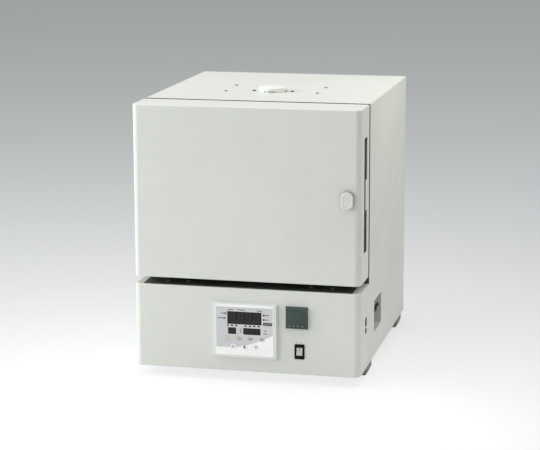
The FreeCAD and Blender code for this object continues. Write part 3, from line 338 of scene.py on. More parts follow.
def makePanelPrint():
    # The controller's printed sheet: silver grey above a line that sweeps up to the right, white
    # below it and along the upper edge. z = lineLow + rise * t ** sweep, with t from 0 to 1 along x
    low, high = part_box("controller_face")
    middle = (low + high) / 2
    soft, side, top = faceSheet["soft"], faceSheet["side"], middle.z + faceSheet["top"]
    material, tree, shader = startMaterial("finish_controller_print")
    place = addNode(tree, "TexCoord").outputs["Object"]
    xyz = addNode(tree, "SeparateXYZ", {"Vector": place}).outputs
    along = ramp(tree, xyz["X"], middle.x + faceSheet["left"], middle.x + faceSheet["right"])
    line = sums(tree, "MULTIPLY_ADD", sums(tree, "POWER", along, faceSheet["sweep"]),
                faceSheet["rise"], middle.z + faceSheet["lineLow"])
    above = ramp(tree, sums(tree, "SUBTRACT", xyz["Z"], line), -soft, soft)
    under = ramp(tree, xyz["Z"], top, top + soft, 1.0, 0.0)
    offSide = sums(tree, "ABSOLUTE", sums(tree, "SUBTRACT", xyz["X"], middle.x))
    inside = ramp(tree, offSide, side, side + soft, 1.0, 0.0)
    isGrey = sums(tree, "MULTIPLY", sums(tree, "MULTIPLY", above, under), inside)
    mask, height = addPattern(tree, place, "grain", faceSheet)
    white, grey = (mixColours(tree, mask, srgb(*faceSheet[key + "Shade"]), srgb(*faceSheet[key]))
                   for key in ("white", "grey"))
    addSurface(tree, shader, mixColours(tree, isGrey, white, grey), mask, height, faceSheet)
    return material


finishes = {name: makeFinish(name, given) for name, given in finishTable.items()}
finishes["controller_print"] = makePanelPrint()
print("finishes:", len(finishes))

for node in nodes.values():
    slotName = node.material_slots[0].material.name.split(".")[0]
    node.material_slots[0].material = finishes[slotName]
print("CAD nodes take their finishes")

# for each axis, the directions across, up and out of a surface that faces along it
axes = {"x": ((0, 1, 0), (0, 0, 1), (1, 0, 0)), "y": ((1, 0, 0), (0, 0, 1), (0, 1, 0)),
        "z": ((1, 0, 0), (0, 1, 0), (0, 0, 1))}


def put(centre, axis, across, up, out):
    # Point = centre + across * first + up * second + out * axis, for arrays of the three numbers
    first, second, third = (np.array(v, float) for v in axes[axis])
    across, up, out = np.broadcast_arrays(across, up, out)
    return (np.array(centre, float) + across[..., None] * first + up[..., None] * second
            + out[..., None] * third)


def quadsOf(rows, columns, wrapRows, wrapColumns):
    # Neighbouring points of a grid numbered row by row, joined in fours
    r = np.arange(rows if wrapRows else rows - 1)[:, None]
    c = np.arange(columns if wrapColumns else columns - 1)[None, :]
    r2, c2 = (r + 1) % rows, (c + 1) % columns
    r, r2 = r * columns, r2 * columns
    four = np.broadcast_arrays(r + c, r2 + c, r2 + c2, r + c2)
    return np.stack(four, -1).reshape(-1, 4)


def mergeDoubles(mesh, isGrid):
    # Doubles become one point; on a grid, collapsed faces go and the rest are turned outwards
    shape = bmesh.new()
    shape.from_mesh(mesh)
    bmesh.ops.remove_doubles(shape, verts=shape.verts, dist=1e-6)
    if isGrid:
        bmesh.ops.dissolve_degenerate(shape, edges=shape.edges, dist=1e-7)
        bmesh.ops.recalc_face_normals(shape, faces=shape.faces)
    shape.to_mesh(mesh)
    shape.free()


def makePiece(name, grids, body, finish, replaced=(), crease=38.0):
    # grids holds (points, wrapRows, wrapColumns)
    points, quads, start = [], [], 0
    for grid, wrapRows, wrapColumns in grids:
        rows, columns = grid.shape[:2]
        points.append(grid.reshape(-1, 3))
        quads.append(quadsOf(rows, columns, wrapRows, wrapColumns) + start)
        start += rows * columns
    mesh = bpy.data.meshes.new(name)
    mesh.from_pydata(np.concatenate(points).tolist(), [], np.concatenate(quads).tolist())
    mergeDoubles(mesh, True)
    return finishPiece(name, mesh, body, finish, replaced, crease)


def finishPiece(name, mesh, body, finish, replaced, crease):
    # Shading, finish, body, slot and the node that the piece stands for
    mesh.polygons.foreach_set("use_smooth", np.ones(len(mesh.polygons), bool))
    mesh.set_sharp_from_angle(angle=math.radians(crease))
    mesh.materials.clear()
    mesh.materials.append(finishes[finish])
    piece = addObject(name, mesh)
    weighted = piece.modifiers.new("even_normals", "WEIGHTED_NORMAL")
    weighted.keep_sharp = True
    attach(piece, body)
    if replaced:
        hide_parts(*replaced)
    return piece


def smoothCopy(nodeName, crease=32.0):
    # The node's own shape with its doubles merged, so that its round edges shade as round
    source = nodes[nodeName]
    slotName = source.data.materials[0].name.replace("finish_", "")
    copyName = nodeName + "_smooth"
    mesh = source.data.copy()
    mesh.name = copyName
    mergeDoubles(mesh, False)
    if "custom_normal" in mesh.attributes:
        mesh.attributes.remove(mesh.attributes["custom_normal"])
    finishPiece(copyName, mesh, source["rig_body"], slotName, (nodeName,), crease)


def ringPad(centre, axis, wide, tall, corner, profile, steps=8):
    # Rounded rectangle at each (inset, height) of the profile; a ring moved inwards keeps its corner
    # middles until the corner radius is used up, then closes on its own middle line
    inset, height = np.array(profile, float).T[:, :, None]
    quarter = np.linspace(0, math.pi / 2, steps)
    angle = np.concatenate([quarter + k * math.pi / 2 for k in range(4)])[None, :]
    radius = np.maximum(corner - inset, 0)
    cut = np.maximum(inset - corner, 0)
    signX = np.repeat([1, -1, -1, 1], steps)[None, :]
    signZ = np.repeat([1, 1, -1, -1], steps)[None, :]
    across = signX * np.maximum(wide / 2 - corner - cut, 0) + radius * np.cos(angle)
    up = signZ * np.maximum(tall / 2 - corner - cut, 0) + radius * np.sin(angle)
    return put(centre, axis, across, up, height + 0 * across), False, True


def plate(centre, axis, wide, tall, corner, back, front, inset=None, steps=2):
    # Flat rounded rectangle from back to front; its faces run inwards by inset, else to the middle
    inset = tall / 2 if inset is None else inset
    return ringPad(centre, axis, wide, tall, corner,
                   [(inset, back), (0, back), (0, front), (inset, front)], steps)


def slab(centre, axis, outline, low, high):
    # Flat shape from its outline of (across, up) points, closed on its middle at both faces
    outline = np.array(outline, float)
    middle = outline.mean(axis=0)
    share = np.array([0, 1, 1, 0])[:, None]
    across = middle[0] + share * (outline[None, :, 0] - middle[0])
    up = middle[1] + share * (outline[None, :, 1] - middle[1])
    out = np.array([low, low, high, high])[:, None] + 0 * across
    return put(centre, axis, across, up, out), False, True


def oblong(left, lower, right, upper):
    # Outline of an upright rectangle
    return [(left, lower), (left, upper), (right, upper), (right, lower)]


def lathe(centre, axis, profile, spokes):
    # Profile of (radius, height) carried round the axis
    radius, height = np.array(profile, float).T[:, :, None]
    turn = np.linspace(0, 2 * math.pi, spokes, endpoint=False)[None, :]
    across, up = radius * np.cos(turn), radius * np.sin(turn)
    return put(centre, axis, across, up, height + 0 * turn), False, True


def islands(nodeName):
    # Boxes of a node's separate solids: the lowest point number spreads over touching triangles
    mesh = nodes[nodeName].data
    points = np.empty(len(mesh.vertices) * 3, np.float32)
    mesh.vertices.foreach_get("co", points)
    points = points.reshape(-1, 3).astype(float)
    mesh.calc_loop_triangles()
    corners = np.empty(len(mesh.loop_triangles) * 3, np.int32)
    mesh.loop_triangles.foreach_get("vertices", corners)
    same = np.unique(np.round(points, 6), axis=0, return_inverse=True)[1].ravel()
    corners = same[corners].reshape(-1, 3)
    label = np.arange(same.max() + 1)
    while True:
        spread = label.copy()
        np.minimum.at(spread, corners.ravel(), np.repeat(label[corners].min(axis=1), 3))
        spread = spread[spread]
        if (spread == label).all():
            break
        label = spread
    owner = label[same]
    solids = [points[owner == k] for k in np.unique(owner)]
    boxes = [(solid.min(axis=0), solid.max(axis=0)) for solid in solids]
    return sorted(boxes, key=lambda b: tuple(np.round(b[0], 4)))


# the camera stands at the photograph's viewing angle; angles are in degrees, lens and sensor in mm
view = dict(place=(0.8837, -3.8459, 1.0995), yaw=13.09, pitch=11.75, roll=-0.21, lens=119.2,
            sensor=36.0)
camera = addObject("camera", bpy.data.cameras.new("camera"))
camera.data.lens = view["lens"]
camera.data.sensor_width = view["sensor"]
camera.matrix_world = (Matrix.Translation(view["place"])
                       @ Matrix.Rotation(math.radians(view["yaw"]), 4, "Z")
                       @ Matrix.Rotation(math.radians(90 - view["pitch"]), 4, "X")
                       @ Matrix.Rotation(math.radians(view["roll"]), 4, "Z"))
bpy.context.scene.camera = camera
print("camera placed")

coil = dict(wire=0.0010, outer=0.0083, pitch=0.0058, pointsPerTurn=12, sides=5)
rod = dict(radius=0.0049, edge=0.0012, spokes=20)


def makeCoils():
    # Helix x = r cos(w y), z = r sin(w y) along each rod, with a round wire carried on it
    grids = []
    radius = coil["outer"] - coil["wire"]
    for low, high in islands("heater_coils"):
        middle = (low + high) / 2
        run = high[1] - low[1] - 2 * coil["wire"]
        turns = round(run / coil["pitch"])
        t = np.linspace(0, 1, turns * coil["pointsPerTurn"] + 1)[:, None]
        angle = 2 * math.pi * turns * t
        side = np.linspace(0, 2 * math.pi, coil["sides"], endpoint=False)[None, :]
        thick = coil["wire"] * np.where((t == 0) | (t == 1), 0.0, 1.0)
        reach = radius + thick * np.cos(side)
        along = low[1] + coil["wire"] + run * t + thick * np.sin(side)
        grids.append((np.stack([middle[0] + reach * np.cos(angle), along,
                                middle[2] + reach * np.sin(angle)], -1), False, True))
    makePiece("heater_wire_coils", grids, "case", "heater_wire", replaced=("heater_coils",))


def makeRods():
    # Plain ceramic rods, turned, with the same rounded edge at both ends
    radius, edge = rod["radius"], rod["edge"]
    end = [(0, 0), (radius - edge, 0), (radius - 0.3 * edge, 0.3 * edge), (radius, edge)]
    grids = []
    for low, high in islands("heater_rods"):
        profile = end + [(r, high[1] - low[1] - y) for r, y in end[::-1]]
        centre = ((low[0] + high[0]) / 2, low[1], (low[2] + high[2]) / 2)
        grids.append(lathe(centre, "y", profile, rod["spokes"]))
    makePiece("heater_core_rods", grids, "case", "heater_ceramic", replaced=("heater_rods",))


makeCoils()
makeRods()
print("heaters wound")

gasket = dict(width=0.014, outerCorner=0.012, ripple=0.00022, ripples=230, halfWaves=5, crown=0.0004,
              stepsAround=1400, stepsAcross=9, crease=60)


def makeGasket():
    # A flat braid carried round a rounded rectangle: its section is a crowned strip, and its
    # height ripples as sin(n u) * cos(halfWaves v), u along the path and v across the strip
    low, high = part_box("door_gasket")
    middle = (low + high) / 2
    corner = gasket["outerCorner"]
    reachX, reachZ = (high.x - low.x) / 2 - corner, (high.z - low.z) / 2 - corner
    arc = math.pi / 2 * corner
    # place along the outer edge where each straight or corner ends
    stops = np.cumsum([0] + [2 * reachZ, arc, 2 * reachX, arc] * 2)
    s = np.linspace(0, stops[-1], gasket["stepsAround"], endpoint=False)
    turn = sum(np.clip((s - stops[k]) / arc, 0, 1) for k in (1, 3, 5, 7)) * math.pi / 2
    run = [np.clip(s - stops[k], 0, stops[k + 1] - stops[k]) for k in (0, 2, 4, 6)]
    centreX = reachX - run[1] + run[3]
    centreZ = -reachZ + run[0] - run[2]
    v = np.linspace(0, 1, gasket["stepsAcross"])
    across = np.concatenate([v, v[::-1]])[None, :]  # out over the front face, back over the rear
    isFront = np.repeat([True, False], len(v))[None, :]
    bulge = np.sin(math.pi * across) ** 0.5
    wave = np.sin(gasket["ripples"] * 2 * math.pi * s / stops[-1])[:, None]
    ripple = gasket["ripple"] * wave * np.cos(gasket["halfWaves"] * math.pi * across)
    crowned = high.y - low.y - gasket["ripple"] - gasket["crown"] * (1 - bulge)
    height = np.where(isFront, crowned + ripple * bulge, 0.0)
    radius = corner - gasket["width"] * across
    x = middle.x + centreX[:, None] + radius * np.cos(turn)[:, None]
    z = middle.z + centreZ[:, None] + radius * np.sin(turn)[:, None]
    grid = np.stack([x, low.y + height + 0 * x, z], -1)
    piece = makePiece("door_gasket_braid", [(grid, True, True)], "door", "gasket",
                      replaced=("door_gasket",), crease=gasket["crease"])
    mapAlong(piece, middle)


def mapAlong(piece, middle):
    # UV in metres: u is the place along the side that a point is on, v its distance from the
    # gasket's middle
    mesh = piece.data
    corner = np.empty(len(mesh.loops), np.int32)
    mesh.loops.foreach_get("vertex_index", corner)
    points = np.empty(len(mesh.vertices) * 3, np.float32)
    mesh.vertices.foreach_get("co", points)
    off = points.reshape(-1, 3)[corner] - np.array(middle, np.float32)
    away = np.maximum(abs(off[:, 0]), abs(off[:, 2]))
    along = np.where(abs(off[:, 0]) > abs(off[:, 2]), off[:, 2], off[:, 0])
    layer = mesh.uv_layers.new(name="UVMap")
    layer.data.foreach_set("uv", np.stack([along, away], -1).astype(np.float32).ravel())


makeGasket()
print("gasket braided")

# rings are shares of the radius; soft is how far the recess's ends and sides slope
screw = dict(radius=0.0040, height=0.0020, dome=0.12, edge=0.0008, rimStart=0.72, rimRound=0.999,
             rings=[0, 0.08, 0.16, 0.26, 0.36, 0.46, 0.56, 0.66, 0.76, 0.86, 0.94, 0.98, 1.0, 1.0],
             armLong=0.0023, armWide=0.00055, softLong=0.0004, softWide=0.0003, recess=0.0011,
             spokes=48, shankRadius=0.0019, shankLong=0.0070, shankSpokes=12,
             darkWithin=0.004, darkAbove=0.5)


def screwHead(centre, axis, sign):
    # Pan head: h(r) = a rounded rim under a low dome, less a cross recess of four soft-edged arms
    share = np.array(screw["rings"])[:, None]
    radius = screw["radius"] * share
    turn = np.linspace(0, 2 * math.pi, screw["spokes"], endpoint=False)[None, :]
    across, up = radius * np.cos(turn), radius * np.sin(turn)
    rim = np.clip((share - screw["rimStart"]) / (1 - screw["rimStart"]), 0, 1)
    fall = 1 - np.sqrt(1 - screw["rimRound"] * rim ** 2)
    height = screw["height"] * (1 - screw["dome"] * share ** 2) - screw["edge"] * fall

    def arm(a, b):
        inLong = np.clip((screw["armLong"] - abs(a)) / screw["softLong"], 0, 1)
        inWide = np.clip((screw["armWide"] - abs(b)) / screw["softWide"] + 0.5, 0, 1)
        return inLong * inWide

    height = height - screw["recess"] * np.maximum(arm(across, up), arm(up, across))
    height[-1] = 0.0
    return put(centre, axis, across, up, sign * height), False, True


def shank(centre, axis, sign):
    radius, end = screw["shankRadius"], -sign * screw["shankLong"]
    return lathe(centre, axis, [(0, 0), (radius, 0), (radius, end), (0, end)], screw["shankSpokes"])


def makeScrews(nodeName, darkY=None):
    # One head and shank for each solid of the node, on the axis that its box is longest on; those
    # that stand on the top in line with darkY are dark
    light, dark = [], []
    for low, high in islands(nodeName):
        middle, size = (low + high) / 2, high - low
        k = int(np.argmax(size))
        axis = "xyz"[k]
        sign = -1 if axis == "x" else 1
        face = middle.copy()
        face[k] = (high[k] if sign > 0 else low[k]) - sign * screw["height"]
        isDark = (darkY is not None and axis == "z" and middle[2] > screw["darkAbove"]
                  and abs(middle[1] - darkY) < screw["darkWithin"])
        (dark if isDark else light).extend([screwHead(face, axis, sign), shank(face, axis, sign)])
    for ending, grids, finish in (("_cross", light, "screw_steel"),
                                  ("_exhaust", dark, "screw_dark")):
        if grids:
            makePiece(nodeName + ending, grids, nodes[nodeName]["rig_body"], finish,
                      replaced=(nodeName,))


capLow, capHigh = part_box("exhaust_cap")
capMiddle = (capLow + capHigh) / 2
makeScrews("case_screws", darkY=capMiddle.y)
makeScrews("door_screws")
print("screws set")

foot = dict(corner=0.006, taper=0.0040, taperHeight=0.011, edge=0.0015, easeIn=0.0004,
            easeBelow=0.001, topIn=0.0006, topBelow=0.0008, steps=6)


def makeFeet():
    # Rubber block: rounded rectangle, upright above and drawn in towards the floor
    grids = []
    e, t, bend = foot["edge"], foot["taper"], foot["taperHeight"]
    for low, high in islands("feet"):
        wide, deep, height = high - low
        centre = ((low[0] + high[0]) / 2, (low[1] + high[1]) / 2, low[2])
        profile = [(wide / 2, 0), (t + e, 0), (t + 0.3 * e, 0.3 * e), (t, e),
                   (foot["easeIn"], bend - foot["easeBelow"]), (0, bend),
                   (0, height - foot["topBelow"]), (foot["topIn"], height), (wide / 2, height)]
        grids.append(ringPad(centre, "z", wide, deep, foot["corner"], profile, foot["steps"]))
    makePiece("rubber_feet", grids, "case", "foot_rubber", replaced=("feet",))


# rimRows are (shares of the rim, of the dish's depth), dishRows (shares of the width, of the depth)
knob = dict(shoulder=0.0026, rim=0.0030, dish=0.0005, rimRows=[(0.35, 0), (0.55, 0.6), (0.8, 1)],
            dishRows=[(0.45, 0.75), (0.5, 0.6)], backIn=0.0010, backEdge=0.0008, wallIn=0.0002,
            lap=0.0006, bendSteps=7, steps=16, crease=50)


def makeKnob():
    # Upright oval: straight wall, quarter-round shoulder, narrow rim and a face let in behind it;
    # the wall is given a darker colour that paints its shade
    low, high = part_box("latch_knob")
    wide, tall, deep = high.x - low.x, high.z - low.z, high.y - low.y
    r, rim, dish = knob["shoulder"], knob["rim"], knob["dish"]
    start, lapped = -(deep - r), -(deep - r - knob["lap"])
    wall = [(wide / 2, 0.0), (knob["backIn"], 0.0), (knob["wallIn"], -knob["backEdge"]),
            (knob["wallIn"], start), (wide / 2, start)]
    oval = [(wide / 2, lapped), (0.0, lapped)]
    oval += [(r * (1 - math.cos(a)), start - r * math.sin(a))
             for a in np.linspace(0, math.pi / 2, knob["bendSteps"])]
    oval += [(r + rim * a, -deep + dish * b) for a, b in knob["rimRows"]]
    oval += [(wide * a, -deep + dish * b) for a, b in knob["dishRows"]]
    back = ((low.x + high.x) / 2, high.y, (low.z + high.z) / 2)
    for name, profile, finish in (("latch_knob_oval", oval, "paint"),
                                  ("latch_knob_wall", wall, "knob_wall")):
        makePiece(name, [ringPad(back, "y", wide, tall, wide / 2, profile, knob["steps"])], "latch",
                  finish, replaced=("latch_knob",), crease=knob["crease"])


# topEdge and shoulderEdge are steps (outwards, upwards) from the edge of the top and the shoulder
cap = dict(vents=4, ventWidth=46.0, ventHeight=0.0040, wall=0.0012, topShare=0.58, spokes=180,
           topEdge=[(-0.0016, 0.0), (-0.0007, -0.0002), (0.0, -0.0006)],
           shoulderEdge=[(-0.0010, 0.0008), (-0.0003, 0.0004), (0.0, 0.0)],
           shoulderAbove=0.0010, ceilingAbove=0.0004, ventTop=0.0043, ventTopInside=0.0041)


def makeCap():
    # Lathe of a low cone with a flat top, whose lower rim rises by the vent's height wherever the
    # angle is in a notch
    radius, height = (capHigh.x - capLow.x) / 2, capHigh.z - capLow.z
    pitch = 360 / cap["vents"]
    degrees = np.arange(cap["spokes"]) * 360 / cap["spokes"]
    off = (degrees + pitch / 2) % pitch - pitch / 2
    lift = cap["ventHeight"] * (abs(off) < cap["ventWidth"] / 2)
    turn = np.radians(degrees - 90)[None, :]
    top, inner = cap["topShare"] * radius, radius - cap["wall"]
    # the shoulder and the ceiling under it clear the collar's upper edge
    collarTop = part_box("exhaust_collar")[1].z - capLow.z
    shoulder, ceiling = collarTop + cap["shoulderAbove"], collarTop + cap["ceilingAbove"]
    # rows of radius, height and whether the row rises over a vent
    rows = [(0.0, height, 0)]
    rows += [(top + dr, height + dz, 0) for dr, dz in cap["topEdge"]]
    rows += [(radius + dr, shoulder + dz, 0) for dr, dz in cap["shoulderEdge"]]
    rows += [(radius, cap["ventTop"], 0), (radius, 0.0, 1), (inner, 0.0, 1),
             (inner, cap["ventTopInside"], 0), (inner, ceiling, 0), (0.0, ceiling, 0)]
    r, z, move = np.array(rows).T[:, :, None]
    grid = put((capMiddle.x, capMiddle.y, capLow.z), "z", r * np.cos(turn), r * np.sin(turn),
               z + move * lift[None, :])
    makePiece("exhaust_cap_turned", [(grid, False, True)], "exhaust_cap", "cap_enamel",
              replaced=("exhaust_cap",))


makeFeet()
makeKnob()
makeCap()
print("feet, knob and cap shaped")

faceLow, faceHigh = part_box("controller_face")
faceMiddle = (faceLow + faceHigh) / 2
zero = (1.8, -0.7)  # mm from the sheet's middle to the point that marks are placed from
ink = dict(back=0.00001, raised=0.00008, corner=0.0002)


def onFace(x, z, front=None):
    # A point on the printed sheet, or at another front, from x and z in mm
    return (faceMiddle.x + (x + zero[0]) / 1000, faceLow.y if front is None else front,
            faceMiddle.z + (z + zero[1]) / 1000)


def bar(x, z, wide, tall, front=None, raised=ink["raised"], corner=ink["corner"], inset=None,
        steps=2):
    # A printed stroke, plate or border; x, z, wide and tall in mm
    return plate(onFace(x, z, front), "y", wide / 1000, tall / 1000, corner, ink["back"], -raised,
                 inset, steps)


def shapeAt(x, z, outline, front=None, raised=ink["raised"]):
    # A printed shape from its outline in mm
    return slab(onFace(x, z, front), "y", np.array(outline) / 1000, ink["back"], -raised)


# all in mm: lamps are (x, z), words (x, z, width), arrows (x, z, way), frames (x, z, width, height)
marks = dict(
    lamps=[(-37.1, 10.5), (-28.6, 10.5), (-19.0, 10.5), (0.9, 10.5), (10.4, 10.5), (19.8, 10.5),
           (29.5, 10.5)],
    words=[(-31.3, 44.4, 10.5), (-12.5, 44.9, 10.5), (-3.8, 44.7, 7.0), (31.0, 44.4, 11.0),
           (-50.0, 35.9, 6.0), (-54.6, 25.5, 10.5), (47.5, 35.6, 9.0), (46.8, 25.9, 7.0),
           (43.4, 1.6, 5.5), (43.8, -4.8, 7.5), (-9.0, 3.4, 3.6), (-10.2, -0.2, 3.0),
           (-9.0, -3.6, 3.6)],
    arrows=[(-44.6, 35.9, -1), (-44.2, 25.5, 1), (41.6, 35.6, 1), (41.6, 25.9, 1)],
    frames=[(-1.6, 27.2, 74.0, 27.4), (-28.3, -1.2, 17.4, 14.4), (14.6, -1.2, 37.4, 14.2)],
    strokePitch=2.1, strokeShare=0.74, strokeTall=(2.0, 1.6, 2.2, 1.8), strokeBase=1.9,
    arrowLong=2.8, arrowHigh=2.5,
)
# metres, but badge (x, z, width, height) and strokes (x, z, pitch, width, height) in mm
plates = dict(corner=0.0006, badge=(48.6, 16.4, 19.0, 6.0), badgeRaised=0.0001,
              strokes=(41.8, 16.4, 2.3, 1.5, 1.8), frameIn=0.003, frameRaised=0.00006)


def makeMarks():
    # Printed rows read as short strokes: each word is a row of bars of changing length
    strokes = []
    for x, z, wide in marks["words"]:
        count = max(2, round(wide / marks["strokePitch"]))
        step = wide / count
        for i in range(count):
            tall = marks["strokeTall"][i % 4]
            strokes.append(bar(x - wide / 2 + (i + 0.5) * step, z + (tall - marks["strokeBase"]) / 2,
                               step * marks["strokeShare"], tall))
    for x, z, way in marks["arrows"]:
        long, high = marks["arrowLong"] * way, marks["arrowHigh"]
        strokes.append(shapeAt(x, z, [(-long, high), (long, 0.0), (-long, -high)]))
    badge = bar(*plates["badge"], None, plates["badgeRaised"], plates["corner"], steps=3)
    frames = [bar(*border, None, plates["frameRaised"], plates["corner"], plates["frameIn"], 3)
              for border in marks["frames"]]
    for name, grids in (("face_marks", strokes), ("face_alarm_bar", [badge]),
                        ("face_window_frames", frames)):
        makePiece(name, grids, "case", "ink_dark")
    x, z, pitch, wide, tall = plates["strokes"]
    light = [bar(x + pitch * i, z, wide, tall, faceLow.y - plates["badgeRaised"]) for i in range(7)]
    makePiece("face_alarm_strokes", light, "case", "ink_soft")


lens = dict(radius=0.00115, rise=0.0005, sunk=0.00002, fieldWide=4.4, fieldTall=3.0, spokes=20)


def makeLamps():
    # Small lenses, each on a printed dark field: a circle that swells to a low dome
    fields = [bar(x, z, lens["fieldWide"], lens["fieldTall"]) for x, z in marks["lamps"]]
    makePiece("face_lamp_fields", fields, "case", "ink_dark")
    profile = [(0, lens["sunk"]), (lens["radius"], lens["sunk"])]
    profile += [(lens["radius"] * math.cos(a), -lens["rise"] * math.sin(a))
                for a in np.linspace(0, math.pi / 2, 6)]
    grids = [lathe(onFace(x, z), "y", profile, lens["spokes"]) for x, z in marks["lamps"]]
    makePiece("face_lamps", grids, "case", "segment")


# which of the seven bars of a digit lies where: (across, up, upright)
digitBars = [(0, 1, 0), (0, 0, 0), (0, -1, 0), (-1, 0.5, 1), (1, 0.5, 1), (-1, -0.5, 1),
             (1, -0.5, 1)]
# rows are (how many, middle x, z, pitch, width, height, thickness) in mm; the first has dots
display = dict(rows=[(4, -1.3, 27.6, 17.2, 9.0, 17.5, 2.0), (2, -28.5, -1.1, 6.6, 3.8, 7.0, 0.9),
                     (4, 14.8, -1.1, 7.6, 3.8, 7.0, 0.9)],
               dotRight=7.6, dotZ=19.4, dotHalf=0.9, lean=0.10, gap=0.12, raised=0.00006)


def digit(x, z, wide, tall, thick, front):
    # Seven bars with pointed ends, leaning a little to the right; wide and tall are between the
    # middles of the bars
    grids = []
    for across, up, upright in digitBars:
        long = (tall / 4 if upright else wide / 2) - thick * display["gap"]
        a, b = long - thick / 2, thick / 2
        outline = np.array([(-long, 0), (-a, b), (a, b), (long, 0), (a, -b), (-a, -b)])
        if upright:
            outline = outline[:, ::-1]
        outline = outline + (across * wide / 2, up * tall / 2)
        outline[:, 0] += outline[:, 1] * display["lean"]
        grids.append(shapeAt(x, z, outline, front, display["raised"]))
    return grids


def makeDigits():
    # The display is off: its digits are only a shade lighter than the window
    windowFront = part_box("display_windows")[0].y
    half = display["dotHalf"]
    dot = oblong(-half, -half, half, half)
    grids = []
    for row, (count, middleX, z, pitch, wide, tall, thick) in enumerate(display["rows"]):
        for i in range(count):
            x = middleX + (i - (count - 1) / 2) * pitch
            grids += digit(x, z, wide, tall, thick, windowFront)
            if row == 0:
                grids.append(shapeAt(x + display["dotRight"], display["dotZ"], dot, windowFront,
                                     display["raised"]))
    makePiece("display_digits", grids, "case", "segment")


def makeKey(name, shape, ending, pad, sign, outlines):
    # A key: rounded rectangle through the profile's (inset, depth) rows, with a flat sign on it
    low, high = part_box(name)
    front = ((low.x + high.x) / 2, low.y, (low.z + high.z) / 2)
    deep = high.y - low.y
    profile = [(shape["backIn"], deep), (0, deep)] + shape["profile"]
    grid = ringPad(front, "y", high.x - low.x, high.z - low.z, shape["corner"], profile,
                   shape["steps"])
    makePiece(name + ending, [grid], name, pad, replaced=(name,))
    signs = [slab(front, "y", np.array(outline) * shape["signScale"], shape["signSunk"],
                  -shape["signRaised"]) for outline in outlines]
    makePiece(name + "_sign", signs, name, sign)


faceKey = dict(corner=0.0038, backIn=0.004, steps=8, signScale=0.0013, signSunk=0.0003,
               signRaised=0.00002, profile=[(0, 0.0009), (0.00015, 0.00048), (0.0006, 0.0003),
                                            (0.0022, 0.00009), (0.0040, 0.0)])
# for each key the finish of its pad and of its sign, and the sign's outlines in mm before scaling
faceKeys = [
    ("key_pad", "key_yellow", [oblong(-1.9, -1.6, 1.9, 1.6)]),
    ("key_pad", "ink_grey", [oblong(-2.6, -1.6, 2.6, -0.7), oblong(-2.6, 0.5, 2.6, 1.4)]),
    ("key_pad", "ink_grey", [oblong(-2.7, -1.5, -0.6, 1.5), oblong(0.6, -1.5, 2.7, 1.5)]),
    ("key_pad", "ink_grey", [oblong(-3.0, -0.7, 3.0, 0.7), oblong(-1.0, 1.3, 1.0, 2.1)]),
    ("key_white", "ink_soft", [[(-2.6, 0.0), (0.0, 2.4), (2.6, 0.0), (0.0, -2.4)]]),
    ("key_white", "ink_grey", [oblong(-1.7, -2.3, 1.7, 2.3)]),
    ("key_white", "ink_grey", [[(-2.3, 1.7), (2.3, 1.7), (0.0, -2.2)]]),
]

makeMarks()
makeLamps()
makeDigits()
for i, (pad, sign, outlines) in enumerate(faceKeys):
    makeKey("key_" + str(i + 1), faceKey, "_dome", pad, sign, outlines)
print("controller face printed")

# digits are (how many, right of and above the middle, pitch, width, height, thickness) in mm
limit = dict(corner=0.0006, steps=4, sheet=[(0.012, 0.0004), (0, 0.0004), (0, 0.00003),
                                            (0.0002, -0.0001), (0.012, -0.0001)],
             digits=(3, -1.0, 1.5, 9.2, 4.6, 9.5, 1.1), sheetFront=0.0001)
limitKey = dict(corner=0.0012, backIn=0.0022, steps=5, signScale=0.001, signSunk=0.0003,
                signRaised=0.00006, profile=[(0, 0.0007), (0.0002, 0.0003), (0.0007, 0.00008),
                                             (0.0023, 0.0)])
limitSigns = [[[(-1.6, -1.2), (0, 1.4), (1.6, -1.2)]], [[(-1.6, 1.2), (1.6, 1.2), (0, -1.4)]],
              [[(-1.5, -1.3), (-1.5, 1.3), (1.7, 0)]],
              [oblong(-1.7, -1.2, 1.7, -0.4), oblong(-1.7, 0.4, 1.7, 1.2)]]


def makeLimitParts():
    # The over-temperature controller's window sheet and the digits on it
    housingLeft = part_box("limit_controller")[0].x
    low, high = [b for b in islands("display_windows") if b[0][0] > housingLeft][0]
    middle = (low + high) / 2
    sheet = ringPad((middle[0], low[1], middle[2]), "y", high[0] - low[0], high[2] - low[2],
                    limit["corner"], limit["sheet"], limit["steps"])
    makePiece("limit_window_sheet", [sheet], "case", "limit_window")
    x = (middle[0] - faceMiddle.x) * 1000 - zero[0]
    z = (middle[2] - faceMiddle.z) * 1000 - zero[1]
    count, right, above, pitch, wide, tall, thick = limit["digits"]
    grids = []
    for i in range(count):
        grids += digit(x + (i - (count - 1) / 2) * pitch + right, z + above, wide, tall, thick,
                       low[1] - limit["sheetFront"])
    makePiece("limit_digits", grids, "case", "limit_digit")


rockerMark = dict(above=0.0055, behind=0.0004, sunk=0.0003, raised=0.0001,
                  outline=oblong(-0.0008, -0.0026, 0.0008, 0.0026))


def makeRockerMark():
    # An upright stroke on the rocker's flat upper half, a little behind the frame's front
    low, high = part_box("power_rocker")
    place = ((low.x + high.x) / 2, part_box("switch_frame")[0].y + rockerMark["behind"],
             (low.z + high.z) / 2 + rockerMark["above"])
    one = slab(place, "y", rockerMark["outline"], rockerMark["sunk"], -rockerMark["raised"])
    makePiece("rocker_on_mark", [one], "power_rocker", "rocker_mark")


ticks = dict(places=(-0.0052, 0.0040), above=0.0040, size=0.0018, corner=0.0008, steps=4)


def makeSwitchTicks():
    # Two small printed ticks on the cover above the switch
    low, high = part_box("switch_frame")
    front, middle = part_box("front_cover")[0].y, (low.x + high.x) / 2
    grids = [plate((middle + x, front, high.z + ticks["above"]), "y", ticks["size"], ticks["size"],
                   ticks["corner"], ink["back"], -ink["raised"], steps=ticks["steps"])
             for x in ticks["places"]]
    makePiece("switch_ticks", grids, "case", "ink_grey")
